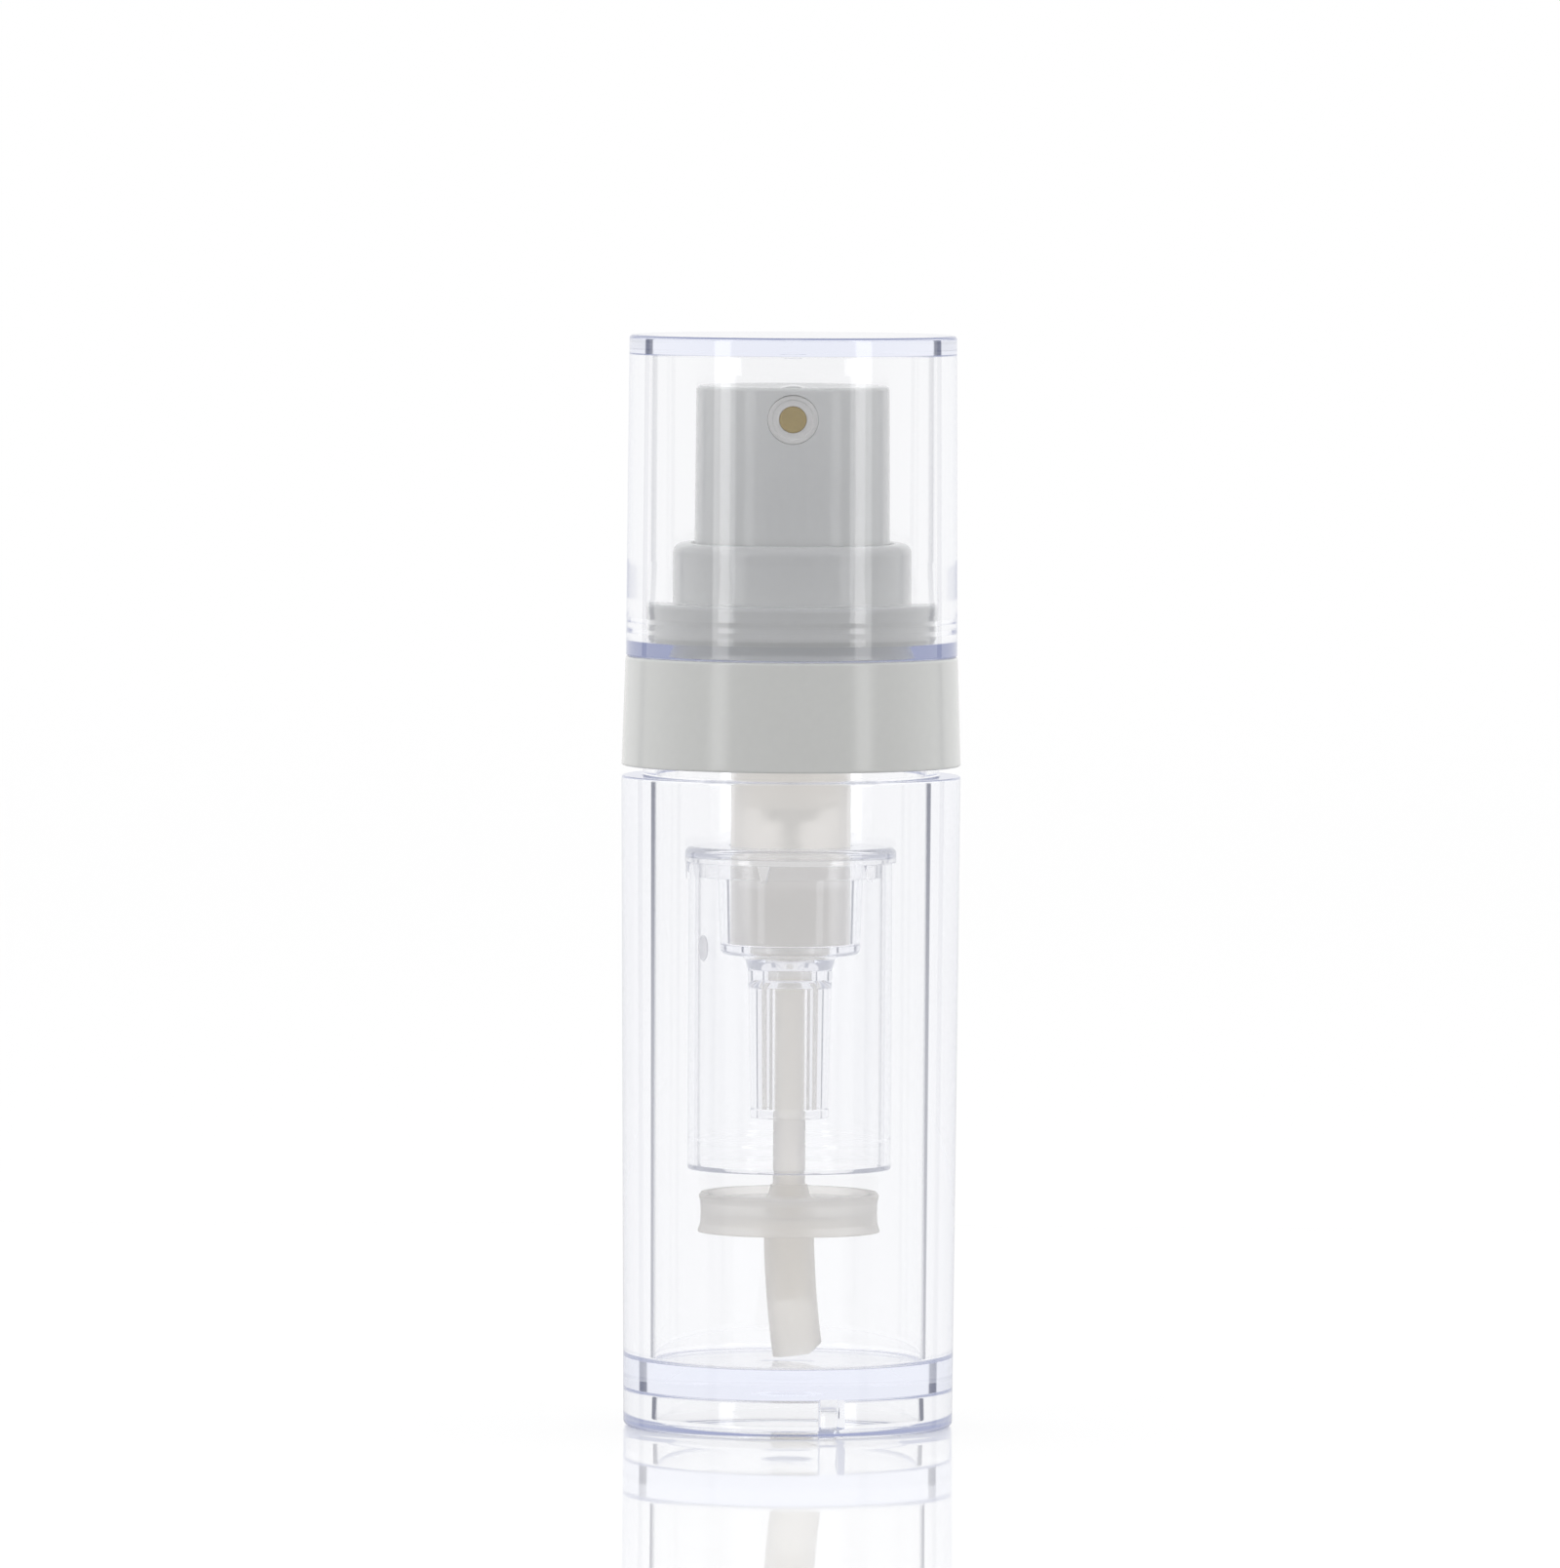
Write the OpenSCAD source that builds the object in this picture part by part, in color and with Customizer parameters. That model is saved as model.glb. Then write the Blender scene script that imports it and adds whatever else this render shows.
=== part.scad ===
// Dual chamber pump bottle: a clear outer bottle and a clear inner chamber share one lotion pump.
// The inner chamber hangs on the pump and is closed from below by a piston that drops to release it.
// Millimetres, +Z up. The base of the bottle stands on z = 0 and its axis is the Z axis.
// The nozzle faces -Y, which is the front.

/* [Outer bottle] */
// Height of the body from the foot to the shoulder
body_h = 66.8; // [62:0.2:76]
// Outer diameter at the shoulder
body_d = 34.8; // [34:0.1:38]
// Narrowing of the body from the shoulder down to the foot, on the radius
body_draft = 0.5; // [0:0.05:0.8]
// Wall of the body at the shoulder
body_wall = 3.4; // [2.8:0.1:3.8]
// Narrowing of the bore from the neck down to the floor, on the radius
bore_draft = 0.1; // [0:0.05:0.3]
// Thickness of the floor slab
floor_t = 3.2; // [2:0.1:5]
// Depth of the recess under the floor
recess_h = 3.8; // [2:0.1:5]
// Width of the ring that the bottle stands on
foot_ring = 3.4; // [2.5:0.1:5]
// Height of the neck above the shoulder
neck_h = 8.4; // [8:0.1:10]
// Wall of the neck
neck_wall = 1.2; // [1:0.05:1.4]
// Direction of the registration lug, to the right of the front
lug_turn = 18; // [0:1:90]
// Width of the registration lug where it meets the foot ring
lug_w = 2.8; // [2:0.1:4]
// Reach of the registration lug towards the axis
lug_reach = 1.6; // [1:0.1:2.5]
// Height of the registration lug below the floor slab
lug_h = 2.95; // [1.5:0.05:3.4]

/* [Closure] */
// Thickness of the gasket on the neck
gasket_t = 0.8; // [0.5:0.05:1.5]
// Thickness of the pump flange
flange_t = 1.2; // [0.8:0.05:2]
// Gap between the collar's lower edge and the shoulder
skirt_gap = 1.05; // [0.3:0.05:1.5]
// Room between the neck and the collar for the screw threads
thread_room = 0.7; // [0.6:0.05:0.8]
// Widening of the collar's skirt from its roof down, on the radius
skirt_draft = 0.35; // [0:0.05:0.4]
// Thickness of the collar's roof
roof_t = 1.8; // [1:0.1:2]
// Height of the collar's snap step, which the cap grips
snap_h = 5.5; // [5:0.1:7]
// Height of the collar's guide ring round the actuator
guide_h = 6.1; // [5:0.1:9]
// Wall of the guide ring at its lip
guide_lip = 1.8; // [1.4:0.1:2.2]

/* [Cap] */
// Free height inside the cap above the actuator
cap_headroom = 3.3; // [1:0.1:6]
// Thickness of the cap's top
cap_top_t = 1.9; // [1.5:0.1:4]
// Wall of the cap above the grip
cap_wall = 2.35; // [2:0.05:2.8]
// Wall of the cap at its rim
cap_rim_wall = 1.5; // [1.2:0.05:1.6]
// Narrowing of the cap from rim to top, on the radius
cap_draft = 0.22; // [0:0.02:0.5]

/* [Actuator] */
// Air between the actuator's lower edge and the cap's wall
actuator_gap = 4.45; // [4:0.05:5]
// Height of the actuator
actuator_h = 18.8; // [17:0.1:22]
// Height of the actuator that shows above the collar
actuator_show = 16.1; // [15:0.1:17]
// Narrowing of the actuator from its lower edge to its top, on the radius
actuator_draft = 0.35; // [0:0.05:0.5]
// Wall of the actuator
actuator_wall = 1.3; // [1:0.05:1.5]
// Travel of the actuator
stroke = 5.0; // [3:0.1:5.4]
// Depth of the nozzle's axis below the top of the actuator
nozzle_drop = 3.5; // [3.3:0.1:5]
// Diameter of the nozzle insert
nozzle_d = 5.0; // [4:0.1:6]
// Diameter of the nozzle's valve disc
nozzle_valve_d = 2.7; // [2:0.1:3.4]

/* [Pump] */
// Outer diameter of the pump housing
housing_d = 12.3; // [11:0.1:13]
// Wall of the pump housing
housing_wall = 0.6; // [0.5:0.05:0.8]
// Depth of the pump housing's floor below its flange
housing_l = 20.4; // [20:0.1:24]
// Outer diameter of the valve foot inside the housing's sleeve
foot_d = 8.2; // [7.6:0.1:9]
// Length of the valve foot
foot_l = 7.0; // [6.8:0.1:8]
// Outer diameter of the valve cage
cage_d = 5.9; // [5:0.1:6.2]
// Diameter of the inlet ball
ball_d = 3.0; // [2.4:0.1:3.2]
// Lift of the inlet ball
ball_lift = 1.2; // [0.6:0.1:1.4]
// Outer diameter of the stem
stem_d = 4.2; // [4:0.1:4.6]
// Bore of the stem
stem_bore = 2.4; // [1.8:0.1:2.6]
// Length of the chaplet's plug below the top of the pump flange
chaplet_l = 6.55; // [5:0.05:8]
// Diameter of the plunger head
plunger_d = 6.6; // [6.4:0.1:7]
// Height of the pump piston
piston_h = 6.0; // [5:0.1:6.4]
// Slip of the pump piston on the stem
piston_lag = 0.8; // [0.4:0.1:1]
// Wire diameter of the return spring
wire_d = 0.7; // [0.5:0.05:0.8]
// Turns of the return spring
spring_turns = 7; // [6:0.5:7]

/* [Inner chamber] */
// Outer diameter of the inner chamber
chamber_d = 20.9; // [20:0.1:24]
// Wall of the inner chamber
chamber_wall = 1.0; // [0.8:0.05:1.4]
// Overhang of the holder's lid beyond the chamber, on the radius
lid_over = 0.4; // [0.3:0.05:0.8]
// Thickness of the holder's lid
lid_t = 1.0; // [0.8:0.1:2]
// Depth of the lid's rim below the lid
lid_rim = 0.6; // [0.4:0.1:1.5]
// Number of teeth under the lid's rim
teeth = 6; // [3:1:12]
// Length of a tooth
tooth_l = 1.7; // [1:0.1:3]
// Width of a tooth at its root
tooth_w = 1.4; // [1:0.1:2]
// Length of the housing that the holder grips
grip_l = 4.1; // [3:0.1:5]
// Wall of the holder's socket
socket_wall = 1.35; // [1.2:0.05:1.6]
// Outer diameter of the guide tube at its upper end
guide_d = 8.7; // [8.2:0.1:9.4]
// Bore of the guide tube
guide_bore = 6.4; // [5.8:0.1:6.6]
// Number of centring ribs inside the guide tube
guide_ribs = 4; // [3:1:6]

/* [Release piston] */
// Height of the release piston above the bottle's floor when it has dropped
sump_l = 13.1; // [11.5:0.1:16]
// Height of the release piston
release_h = 4.05; // [3.5:0.05:5]
// Drop of the release piston from its stored place
release_drop = 7.4; // [6.5:0.1:8]
// Depth of the stored piston above the chamber's mouth
release_seat = 0.9; // [0.5:0.1:2]
// Outer diameter of the upper dip tube
dip_d = 3.3; // [3:0.1:3.4]
// Bore of the upper dip tube
dip_bore = 2.2; // [1.8:0.1:2.4]
// Wall of the spout that holds the upper dip tube
nipple_wall = 0.6; // [0.5:0.05:0.7]
// Outer diameter of the lower dip tube
lower_d = 5.15; // [5.1:0.05:5.6]
// Bore of the lower dip tube
lower_bore = 4.4; // [4.3:0.05:4.5]
// Radius of the lower dip tube's slight bend
bend_r = 105; // [105:5:300]

/* [Hidden] */
$fn = 96;

// Clearances
slide_fit = 0.05;
press_fit = 0.03;
seat_fit = 0.05;
thin = 0.01;
lap = 0.3;
chamfer = 0.3;

// Colours
clear_plastic = [0.88, 0.90, 0.98, 0.35];
white_plastic = [0.90, 0.90, 0.89];
milky_plastic = [0.86, 0.85, 0.83, 0.85];

// Outer bottle
floor_z = recess_h + floor_t;
neck_top = body_h + neck_h;
shoulder_r = body_d / 2;
foot_r = shoulder_r - body_draft;
bore_top_r = shoulder_r - body_wall;
bore_low_r = bore_top_r - bore_draft;
neck_r = bore_top_r + neck_wall;
recess_r = foot_r - foot_ring;
foot_edge = 0.8;
shoulder_edge = 0.3;
floor_fillet = 0.8;
dimple_r = 2.75;
dimple_h = 0.3;
lug_tip_w = lug_w * 0.6;

// Stack on the neck
flange_low = neck_top + gasket_t;
flange_top = flange_low + flange_t;
flange_r = neck_r - 0.3;
roof_low = flange_top + seat_fit;
roof_top = roof_low + roof_t;
snap_top = roof_top + snap_h;
collar_top = snap_top + guide_h;

// Collar radii
skirt_low = body_h + skirt_gap;
skirt_r = shoulder_r;
skirt_top_r = skirt_r - skirt_draft;
skirt_bore_r = neck_r + thread_room;
rim_r = skirt_top_r - 0.05;
rim_bore_r = rim_r - cap_rim_wall;
snap_r = rim_bore_r - 0.53;
snap_land_r = snap_r - 0.12;
snap_groove_r = snap_r - 0.6;
snap_waist_r = snap_r - 1.62;
snap_wall = 1.45;
groove_half = 0.1;
collar_bore_r = snap_waist_r - snap_wall;
skirt_edge = 0.3;
snap_edge = 0.8;
snap_slope = 0.25;
lip_gap = 0.25;
lip_h = 1.2;
lip_slope = 0.4;
guide_edge = 1.0;
step_t = 1.4;

// Actuator and the collar's guide ring round it
cap_bore_r = rim_r - cap_wall;
actuator_r = cap_bore_r - actuator_gap;
lip_r = actuator_r + lip_gap;
guide_r = lip_r + guide_lip;
guide_bore_r = lip_r + lip_slope;
actuator_top = collar_top + actuator_show;
actuator_low = actuator_top - actuator_h;
actuator_top_r = actuator_r - actuator_draft;
actuator_edge = 0.7;
dish_h = 0.9;
dish_r = actuator_top_r - actuator_edge - 0.4;
dish_steps = 6;
actuator_roof = 1.3;
actuator_rib_t = 0.8;
actuator_rib_drop = 4.5;
nozzle_z = actuator_top - nozzle_drop;
nozzle_r = nozzle_d / 2;
nozzle_face = actuator_top_r - 0.1;
nozzle_depth = 2.2;
nozzle_channel_r = 0.9;
valve_t = 0.7;
valve_sink = 0.15;
valve_r = nozzle_valve_d / 2;
valve_hole_r = 0.15;
boss_r = nozzle_r + 0.9;

// Cap
cap_low = roof_top + seat_fit;
cap_top = actuator_top + cap_headroom + cap_top_t;
cap_top_r = rim_r - cap_draft;
cap_edge = 0.7;
cap_inner_edge = 0.5;
rim_edge = 0.15;
grip_slope = 0.3;
bead_half = 0.4;
cap_grip_h = snap_h - 0.35;
bead_z = roof_top + 3.4;
snap_land_low = bead_z - 1.25;
snap_land_top = bead_z - 0.35;
snap_low = bead_z + 0.45;
gate_r = 0.9;
gate_h = 0.3;

// Pump
housing_low = flange_low - housing_l;
housing_r = housing_d / 2;
housing_bore_r = housing_r - housing_wall;
housing_floor = 0.8;
plug_wall = 1.0;
plug_h = 1.8;
plug_lead = 0.4;
plug_r = bore_top_r - 0.25;
vent_r = 0.4;
vent_drop = 2.4;
foot_low = housing_low - foot_l;
foot_r2 = foot_d / 2;
foot_cone = 1.4;
cage_r = cage_d / 2;
ball_r = ball_d / 2;
ball_seat_r = ball_r * 0.6;
cage_low = foot_low + 0.8;
ball_seat_z = cage_low - (ball_r - ball_seat_r);
ball_z = ball_seat_z - ball_seat_r + ball_r * sqrt(2) + seat_fit;
ball_room = 0.25;
seat_land = 0.3;
cage_slot_w = 0.7;
cage_slot_d = 0.75;
cage_ledge = ball_z + ball_r + ball_lift + seat_fit;
cage_top = housing_low - 1.1;
stem_r = stem_d / 2;
spring_seat_h = 1.15;
chaplet_top = flange_top + spring_seat_h;
chaplet_low = flange_top - chaplet_l;
chaplet_rim = 2.4;
chaplet_r = housing_r + chaplet_rim;
chaplet_guide = 1.8;
chaplet_wall = 0.8;
stem_flange_t = 1.0;
stem_flange_w = 2.4;
stem_flange_rise = 2.0;
stem_flange_r = stem_r + stem_flange_w;
stem_flange_low = actuator_low + stem_flange_rise;
stem_flange_top = stem_flange_low + stem_flange_t;
stem_end_drop = 2.0;
stem_top = nozzle_z - stem_end_drop;
piston_low = chaplet_low - 2 * seat_fit - piston_lag - piston_h;
piston_lip = 0.7;
piston_relief = 0.35;
piston_sleeve = 0.55;
piston_web_t = 0.8;
piston_web_rise = 1.9;
port_room_h = 1.5;
piston_r = housing_bore_r - 0.02;
piston_hub_r = plunger_d / 2 + 0.4;
seal_z = piston_low + 1.1;
plunger_r = plunger_d / 2;
plunger_top = seal_z - seat_fit;
plunger_l = 2.5;
plunger_tip_r = plunger_r - 0.55;
plunger_cone_h = plunger_l * 0.55;
socket_depth = 1.2;
pin_r = 1.0;
pin_low = cage_ledge + stroke + 0.4;
port_r = 0.6;
port_rise = 0.15;
post_r = stem_r + 1.3;
spring_low = chaplet_top + seat_fit;
spring_high = stem_flange_low - seat_fit;
spring_r = stem_r + 0.6 + wire_d / 2;

// Inner chamber and its holder
lid_top = housing_low + grip_l;
lid_low = lid_top - lid_t;
rim_low = lid_low - lid_rim;
chamber_r = chamber_d / 2;
chamber_bore_r = chamber_r - chamber_wall;
lid_r = chamber_r + lid_over;
lid_edge = 0.7;
release_z = floor_z + sump_l;
chamber_low = release_z + release_drop - release_seat;
chamber_top = lid_low - seat_fit;
spigot_l = 2.1;
spigot_t = 0.7;
socket_bore_r = housing_r + slide_fit;
socket_r = socket_bore_r + socket_wall;
socket_draft = 0.4;
socket_edge = 0.6;
socket_floor_top = foot_low + 1.0;
socket_low = foot_low;
nipple_r = dip_d / 2 + nipple_wall;
nipple_fit_r = nipple_r + slide_fit;
nipple_low = release_z + release_h + release_drop + 1.05;
guide_low = release_z + release_h + release_drop + 0.25;
guide_tube_r = guide_d / 2;
guide_foot_r = guide_tube_r - 0.35;
guide_band_h = 0.9;
guide_bore_r2 = guide_bore / 2;
guide_roof = foot_low - 3.4;
funnel_h = 1.6;
funnel_root = 0.8;
funnel_waist = 0.25;
roof_cone_h = 0.8;
rib_t = 0.6;
tooth_turn = -14;
tooth_tip_w = tooth_w * 0.3;

// Release piston and the dip tubes
dip_r = dip_d / 2;
dip_top = guide_roof + 1.0;
dip_low = release_z + 0.9;
chamber_edge = 0.3;
park_bead = 0.04;
park_bead_half = 0.25;
lip_top_r = chamber_bore_r - 0.18;
lip_low_r = chamber_bore_r - 0.07;
waist_r = chamber_bore_r - 0.35;
release_bore_r = dip_r + slide_fit;
boss_h = 0.75;
web_low = release_z + 1.8;
web_top = release_z + 3.3;
skirt_wall = 0.9;
dish_step = 0.6;
boss_flare = 0.9;
slot_l = 0.8;
slot_w = 0.6;
lower_r = lower_d / 2;
lower_bore_r = lower_bore / 2;
spout_r = lower_bore_r - press_fit;
spout_low = dip_low - release_drop - 0.3;
lower_top = web_low - seat_fit;
lower_gap = 0.15;
foot_cut_turn = 40;
foot_cut_h = 0.4;
bend_start = lower_top;
bend_turn = asin((bend_start - floor_z - lower_gap) / (bend_r + lower_r));
spout_turn = asin((bend_start - spout_low) / bend_r);
spout_root = 0.4;

// Points on an arc round a centre, from one angle to another
function arc(centre, r, from, to, steps = 6) =
    [for (i = [0 : steps]) centre + r * [cos(from + (to - from) * i / steps),
                                         sin(from + (to - from) * i / steps)]];

// A cylinder along -Y, which starts a distance in front of the axis
module forward(z, r, near, far) {
    translate([0, -near, z])
    rotate([90, 0, 0])
    cylinder(r = r, h = far - near);
}

// A turned ring between two radii and two heights
module ring(r_in, r_out, low, high) {
    translate([0, 0, low])
    difference() {
        cylinder(r = r_out, h = high - low);
        translate([0, 0, -1])
        cylinder(r = r_in, h = high - low + 2);
    }
}

// A round bar that follows the lower dip tube's bend, from one angle of the bend to another
module bent_bar(r, from, to) {
    translate([bend_r, 0, bend_start])
    rotate([0, 180 - from, 0])
    rotate([90, 0, 0])
    rotate_extrude(angle = to - from)
    translate([bend_r, 0])
    circle(r = r);
}

// Thick-walled body with a recessed foot, a registration lug and an open neck
module outer_bottle() {
    color(clear_plastic) {
        rotate_extrude()
        polygon(concat(
            [[recess_r, 0]],
            arc([foot_r - foot_edge, foot_edge], foot_edge, -90, 0),
            arc([shoulder_r - shoulder_edge, body_h - shoulder_edge], shoulder_edge, 0, 90, 3),
            [[neck_r, body_h], [neck_r, neck_top], [bore_top_r, neck_top]],
            arc([bore_low_r - floor_fillet, floor_z + floor_fillet], floor_fillet, 0, -90),
            [[0, floor_z], [0, recess_h + dimple_h]],
            [[dimple_r * 0.6, recess_h + dimple_h * 0.8], [dimple_r, recess_h], [recess_r, recess_h]]
        ));
        registration_lug();
    }
}

// Small wedge in the recess, which turns the bottle the right way for printing
module registration_lug() {
    rotate(lug_turn - 90)
    translate([0, 0, recess_h - lug_h])
    linear_extrude(lug_h + thin)
    polygon([
        [recess_r + lap, lug_w / 2],
        [recess_r - lug_reach, lug_tip_w / 2],
        [recess_r - lug_reach, -lug_tip_w / 2],
        [recess_r + lap, -lug_w / 2]
    ]);
}

// Flat ring between the neck and the pump flange
module neck_gasket() {
    color("gainsboro")
    ring(plug_r + slide_fit, flange_r, neck_top, flange_low);
}

// Three-tiered screw collar
module collar() {
    color(white_plastic)
    rotate_extrude()
    polygon(concat(
        [[skirt_bore_r, skirt_low], [skirt_r, skirt_low]],
        arc([skirt_top_r - skirt_edge, roof_top - skirt_edge], skirt_edge, 0, 90, 3),
        [[snap_waist_r, roof_top], [snap_waist_r, snap_land_low - snap_slope]],
        [[snap_land_r, snap_land_low], [snap_land_r, snap_land_top]],
        [[snap_groove_r, bead_z - groove_half], [snap_groove_r, bead_z + groove_half]],
        [[snap_r, snap_low]],
        arc([snap_r - snap_edge, snap_top - snap_edge], snap_edge, 0, 90),
        [[guide_r, snap_top]],
        arc([guide_r - guide_edge, collar_top - guide_edge], guide_edge, 0, 90),
        [[lip_r, collar_top], [lip_r, collar_top - lip_h]],
        [[guide_bore_r, collar_top - lip_h - lip_slope]],
        [[guide_bore_r, snap_top - step_t], [collar_bore_r, snap_top - step_t]],
        [[collar_bore_r, roof_low], [skirt_bore_r, roof_low]]
    ));
}

// Clear cap with a thick top and a snap bead inside its rim
module overcap() {
    color(clear_plastic) {
        rotate_extrude()
        polygon(concat(
            [[rim_bore_r, cap_low], [rim_r - rim_edge, cap_low], [rim_r, cap_low + rim_edge]],
            arc([cap_top_r - cap_edge, cap_top - cap_edge], cap_edge, 0, 90),
            [[0, cap_top], [0, cap_top - cap_top_t]],
            arc([cap_bore_r - cap_inner_edge, cap_top - cap_top_t - cap_inner_edge],
                cap_inner_edge, 90, 0, 4),
            [[cap_bore_r, cap_low + cap_grip_h + grip_slope]],
            [[rim_bore_r, cap_low + cap_grip_h - grip_slope], [rim_bore_r, bead_z + bead_half]],
            [[snap_r + slide_fit, bead_z], [rim_bore_r, bead_z - bead_half]]
        ));
        translate([0, 0, cap_top - cap_top_t - gate_h])
        cylinder(r = gate_r, h = gate_h + thin);
    }
}

// Press button with a dished top, a post for the stem and a nozzle boss
module actuator() {
    color(white_plastic)
    difference() {
        union() {
            difference() {
                actuator_outside();
                actuator_inside();
            }
            intersection() {
                actuator_inside(thin);
                union() {
                    translate([0, 0, stem_flange_top + seat_fit])
                    cylinder(r = post_r, h = actuator_h);
                    forward(nozzle_z, boss_r, 0, actuator_r);
                    actuator_ribs();
                }
            }
        }
        translate([0, 0, actuator_low])
        cylinder(r = stem_r + press_fit, h = stem_top + seat_fit - actuator_low);
        translate([0, 0, actuator_low])
        cylinder(r = nozzle_channel_r, h = nozzle_z - actuator_low);
        forward(nozzle_z, nozzle_channel_r, 0, actuator_r);
        forward(nozzle_z, nozzle_r + press_fit, nozzle_face - nozzle_depth - seat_fit, actuator_r);
    }
}

// Outline of the press button, filled solid
module actuator_outside() {
    rotate_extrude()
    polygon(concat(
        [[0, actuator_low], [actuator_r, actuator_low]],
        arc([actuator_top_r - actuator_edge, actuator_top - actuator_edge], actuator_edge, 0, 90),
        [for (i = [1 : dish_steps]) [dish_r * (1 - i / dish_steps),
                                     actuator_top - dish_h * (1 - pow(1 - i / dish_steps, 2))]]
    ));
}

// Hollow under the press button's roof, which grow makes larger all round
module actuator_inside(grow = 0) {
    low = actuator_low - 1 + grow;
    high = actuator_top - dish_h - actuator_roof + grow;
    translate([0, 0, low])
    cylinder(
        r1 = actuator_r - actuator_wall + grow,
        r2 = actuator_top_r - actuator_wall + grow,
        h = high - low
    );
}

// Thin ribs between the post and the press button's wall
module actuator_ribs() {
    rib_low = nozzle_z - actuator_rib_drop;
    for (turn = [45, 135, 225, 315])
        rotate(turn)
        translate([post_r - lap, -actuator_rib_t / 2, rib_low])
        cube([actuator_r, actuator_rib_t, actuator_top - rib_low]);
}

// Milky ring pressed into the front of the actuator
module nozzle_insert() {
    color(milky_plastic)
    difference() {
        forward(nozzle_z, nozzle_r, nozzle_face - nozzle_depth, nozzle_face);
        forward(nozzle_z, valve_r + press_fit, nozzle_face - valve_sink - valve_t, actuator_r);
        forward(nozzle_z, nozzle_channel_r, 0, actuator_r);
    }
}

// Soft disc that closes the nozzle between strokes
module nozzle_valve() {
    valve_back = nozzle_face - valve_sink - valve_t + seat_fit;
    color([0.62, 0.56, 0.42])
    difference() {
        forward(nozzle_z, valve_r, valve_back, nozzle_face - valve_sink);
        forward(nozzle_z, valve_hole_r, 0, actuator_r);
    }
}

// Hollow stem with the spring's upper seat and two side ports
module stem() {
    color(white_plastic)
    difference() {
        rotate_extrude()
        polygon([
            [stem_bore / 2, plunger_top - socket_depth + seat_fit],
            [stem_r, plunger_top - socket_depth + seat_fit],
            [stem_r, stem_flange_low],
            [stem_flange_r, stem_flange_low],
            [stem_flange_r, stem_flange_top],
            [stem_r, stem_flange_top],
            [stem_r, stem_top - chamfer],
            [stem_r - chamfer, stem_top],
            [stem_bore / 2, stem_top]
        ]);
        translate([-stem_d, 0, seal_z + port_r + port_rise])
        rotate([0, 90, 0])
        cylinder(r = port_r, h = 2 * stem_d);
    }
}

// Sealing head on the foot of the stem, with a thin pin below it
module plunger() {
    color(white_plastic)
    rotate_extrude()
    polygon([
        [0, pin_low],
        [pin_r - chamfer, pin_low],
        [pin_r, pin_low + chamfer],
        [pin_r, plunger_top - plunger_l],
        [plunger_tip_r, plunger_top - plunger_l],
        [plunger_r, plunger_top - plunger_l + plunger_cone_h],
        [plunger_r, plunger_top],
        [stem_r + press_fit, plunger_top],
        [stem_r + press_fit, plunger_top - socket_depth],
        [0, plunger_top - socket_depth]
    ]);
}

// Double-lipped piston that slips on the stem and wipes the housing
module pump_piston() {
    piston_top = piston_low + piston_h;
    web_z = seal_z + piston_web_rise;
    waist = piston_r - piston_relief;
    port_room = plunger_r - 0.4;
    color(milky_plastic)
    rotate_extrude()
    polygon([
        [piston_r - piston_sleeve, piston_low],
        [piston_r, piston_low],
        [piston_r, piston_low + piston_lip],
        [waist, piston_low + piston_lip + piston_relief],
        [waist, piston_top - piston_lip - piston_relief],
        [piston_r, piston_top - piston_lip],
        [piston_r, piston_top],
        [piston_r - piston_sleeve, piston_top],
        [waist - piston_sleeve, piston_top - piston_lip],
        [waist - piston_sleeve, web_z + piston_web_t],
        [piston_hub_r, web_z + piston_web_t],
        [piston_hub_r - chamfer, piston_top - chamfer],
        [stem_r + slide_fit, piston_top - chamfer],
        [stem_r + slide_fit, seal_z + port_room_h],
        [port_room, seal_z + port_room_h],
        [port_room, seal_z],
        [piston_hub_r, seal_z],
        [piston_hub_r, web_z],
        [waist - piston_sleeve, web_z],
        [waist - piston_sleeve, piston_low + piston_lip]
    ]);
}

// Centre line of the return spring: a share from 0 at its foot to 1 at its top
spring_rings = ceil(spring_turns * 8);
function coil(share) = [
    spring_r * cos(360 * spring_turns * share),
    spring_r * sin(360 * spring_turns * share),
    spring_low + wire_d / 2 + (spring_high - spring_low - wire_d) * share
];

// Ring of six points round the spring's wire
function wire_ring(share) =
    let (turn = 360 * spring_turns * share)
    [for (k = [0 : 5]) coil(share) + wire_d / 2 * [
        cos(60 * k) * cos(turn), cos(60 * k) * sin(turn), sin(60 * k)
    ]];

coil_gap = (spring_high - spring_low - wire_d) / spring_turns - wire_d;
echo(least_gap_between_spring_turns = coil_gap);

// Steel compression spring between the chaplet and the stem's flange
module return_spring() {
    last = spring_rings;
    points = [for (i = [0 : last]) each wire_ring(i / last)];
    sides = [for (i = [0 : last - 1]) for (k = [0 : 5]) each [
        [6 * i + k, 6 * i + 6 + k, 6 * i + (k + 1) % 6],
        [6 * i + (k + 1) % 6, 6 * i + 6 + k, 6 * i + 6 + (k + 1) % 6]
    ]];
    ends = [for (k = [1 : 4]) each [[0, k, k + 1], [6 * last, 6 * last + k + 1, 6 * last + k]]];
    color("silver")
    polyhedron(points, concat(sides, ends));
}

// Plug that closes the housing, guides the stem and seats the spring
module chaplet() {
    plug = housing_bore_r - press_fit;
    color(white_plastic)
    rotate_extrude()
    polygon([
        [stem_r + slide_fit, chaplet_top - chaplet_guide],
        [stem_r + slide_fit, chaplet_top],
        [chaplet_r - chamfer, chaplet_top],
        [chaplet_r, chaplet_top - chamfer],
        [chaplet_r, flange_top + seat_fit],
        [plug, flange_top + seat_fit],
        [plug, chaplet_low + chamfer],
        [plug - chamfer, chaplet_low],
        [plug - chaplet_wall, chaplet_low],
        [plug - chaplet_wall, chaplet_top - chaplet_guide]
    ]);
}

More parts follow.
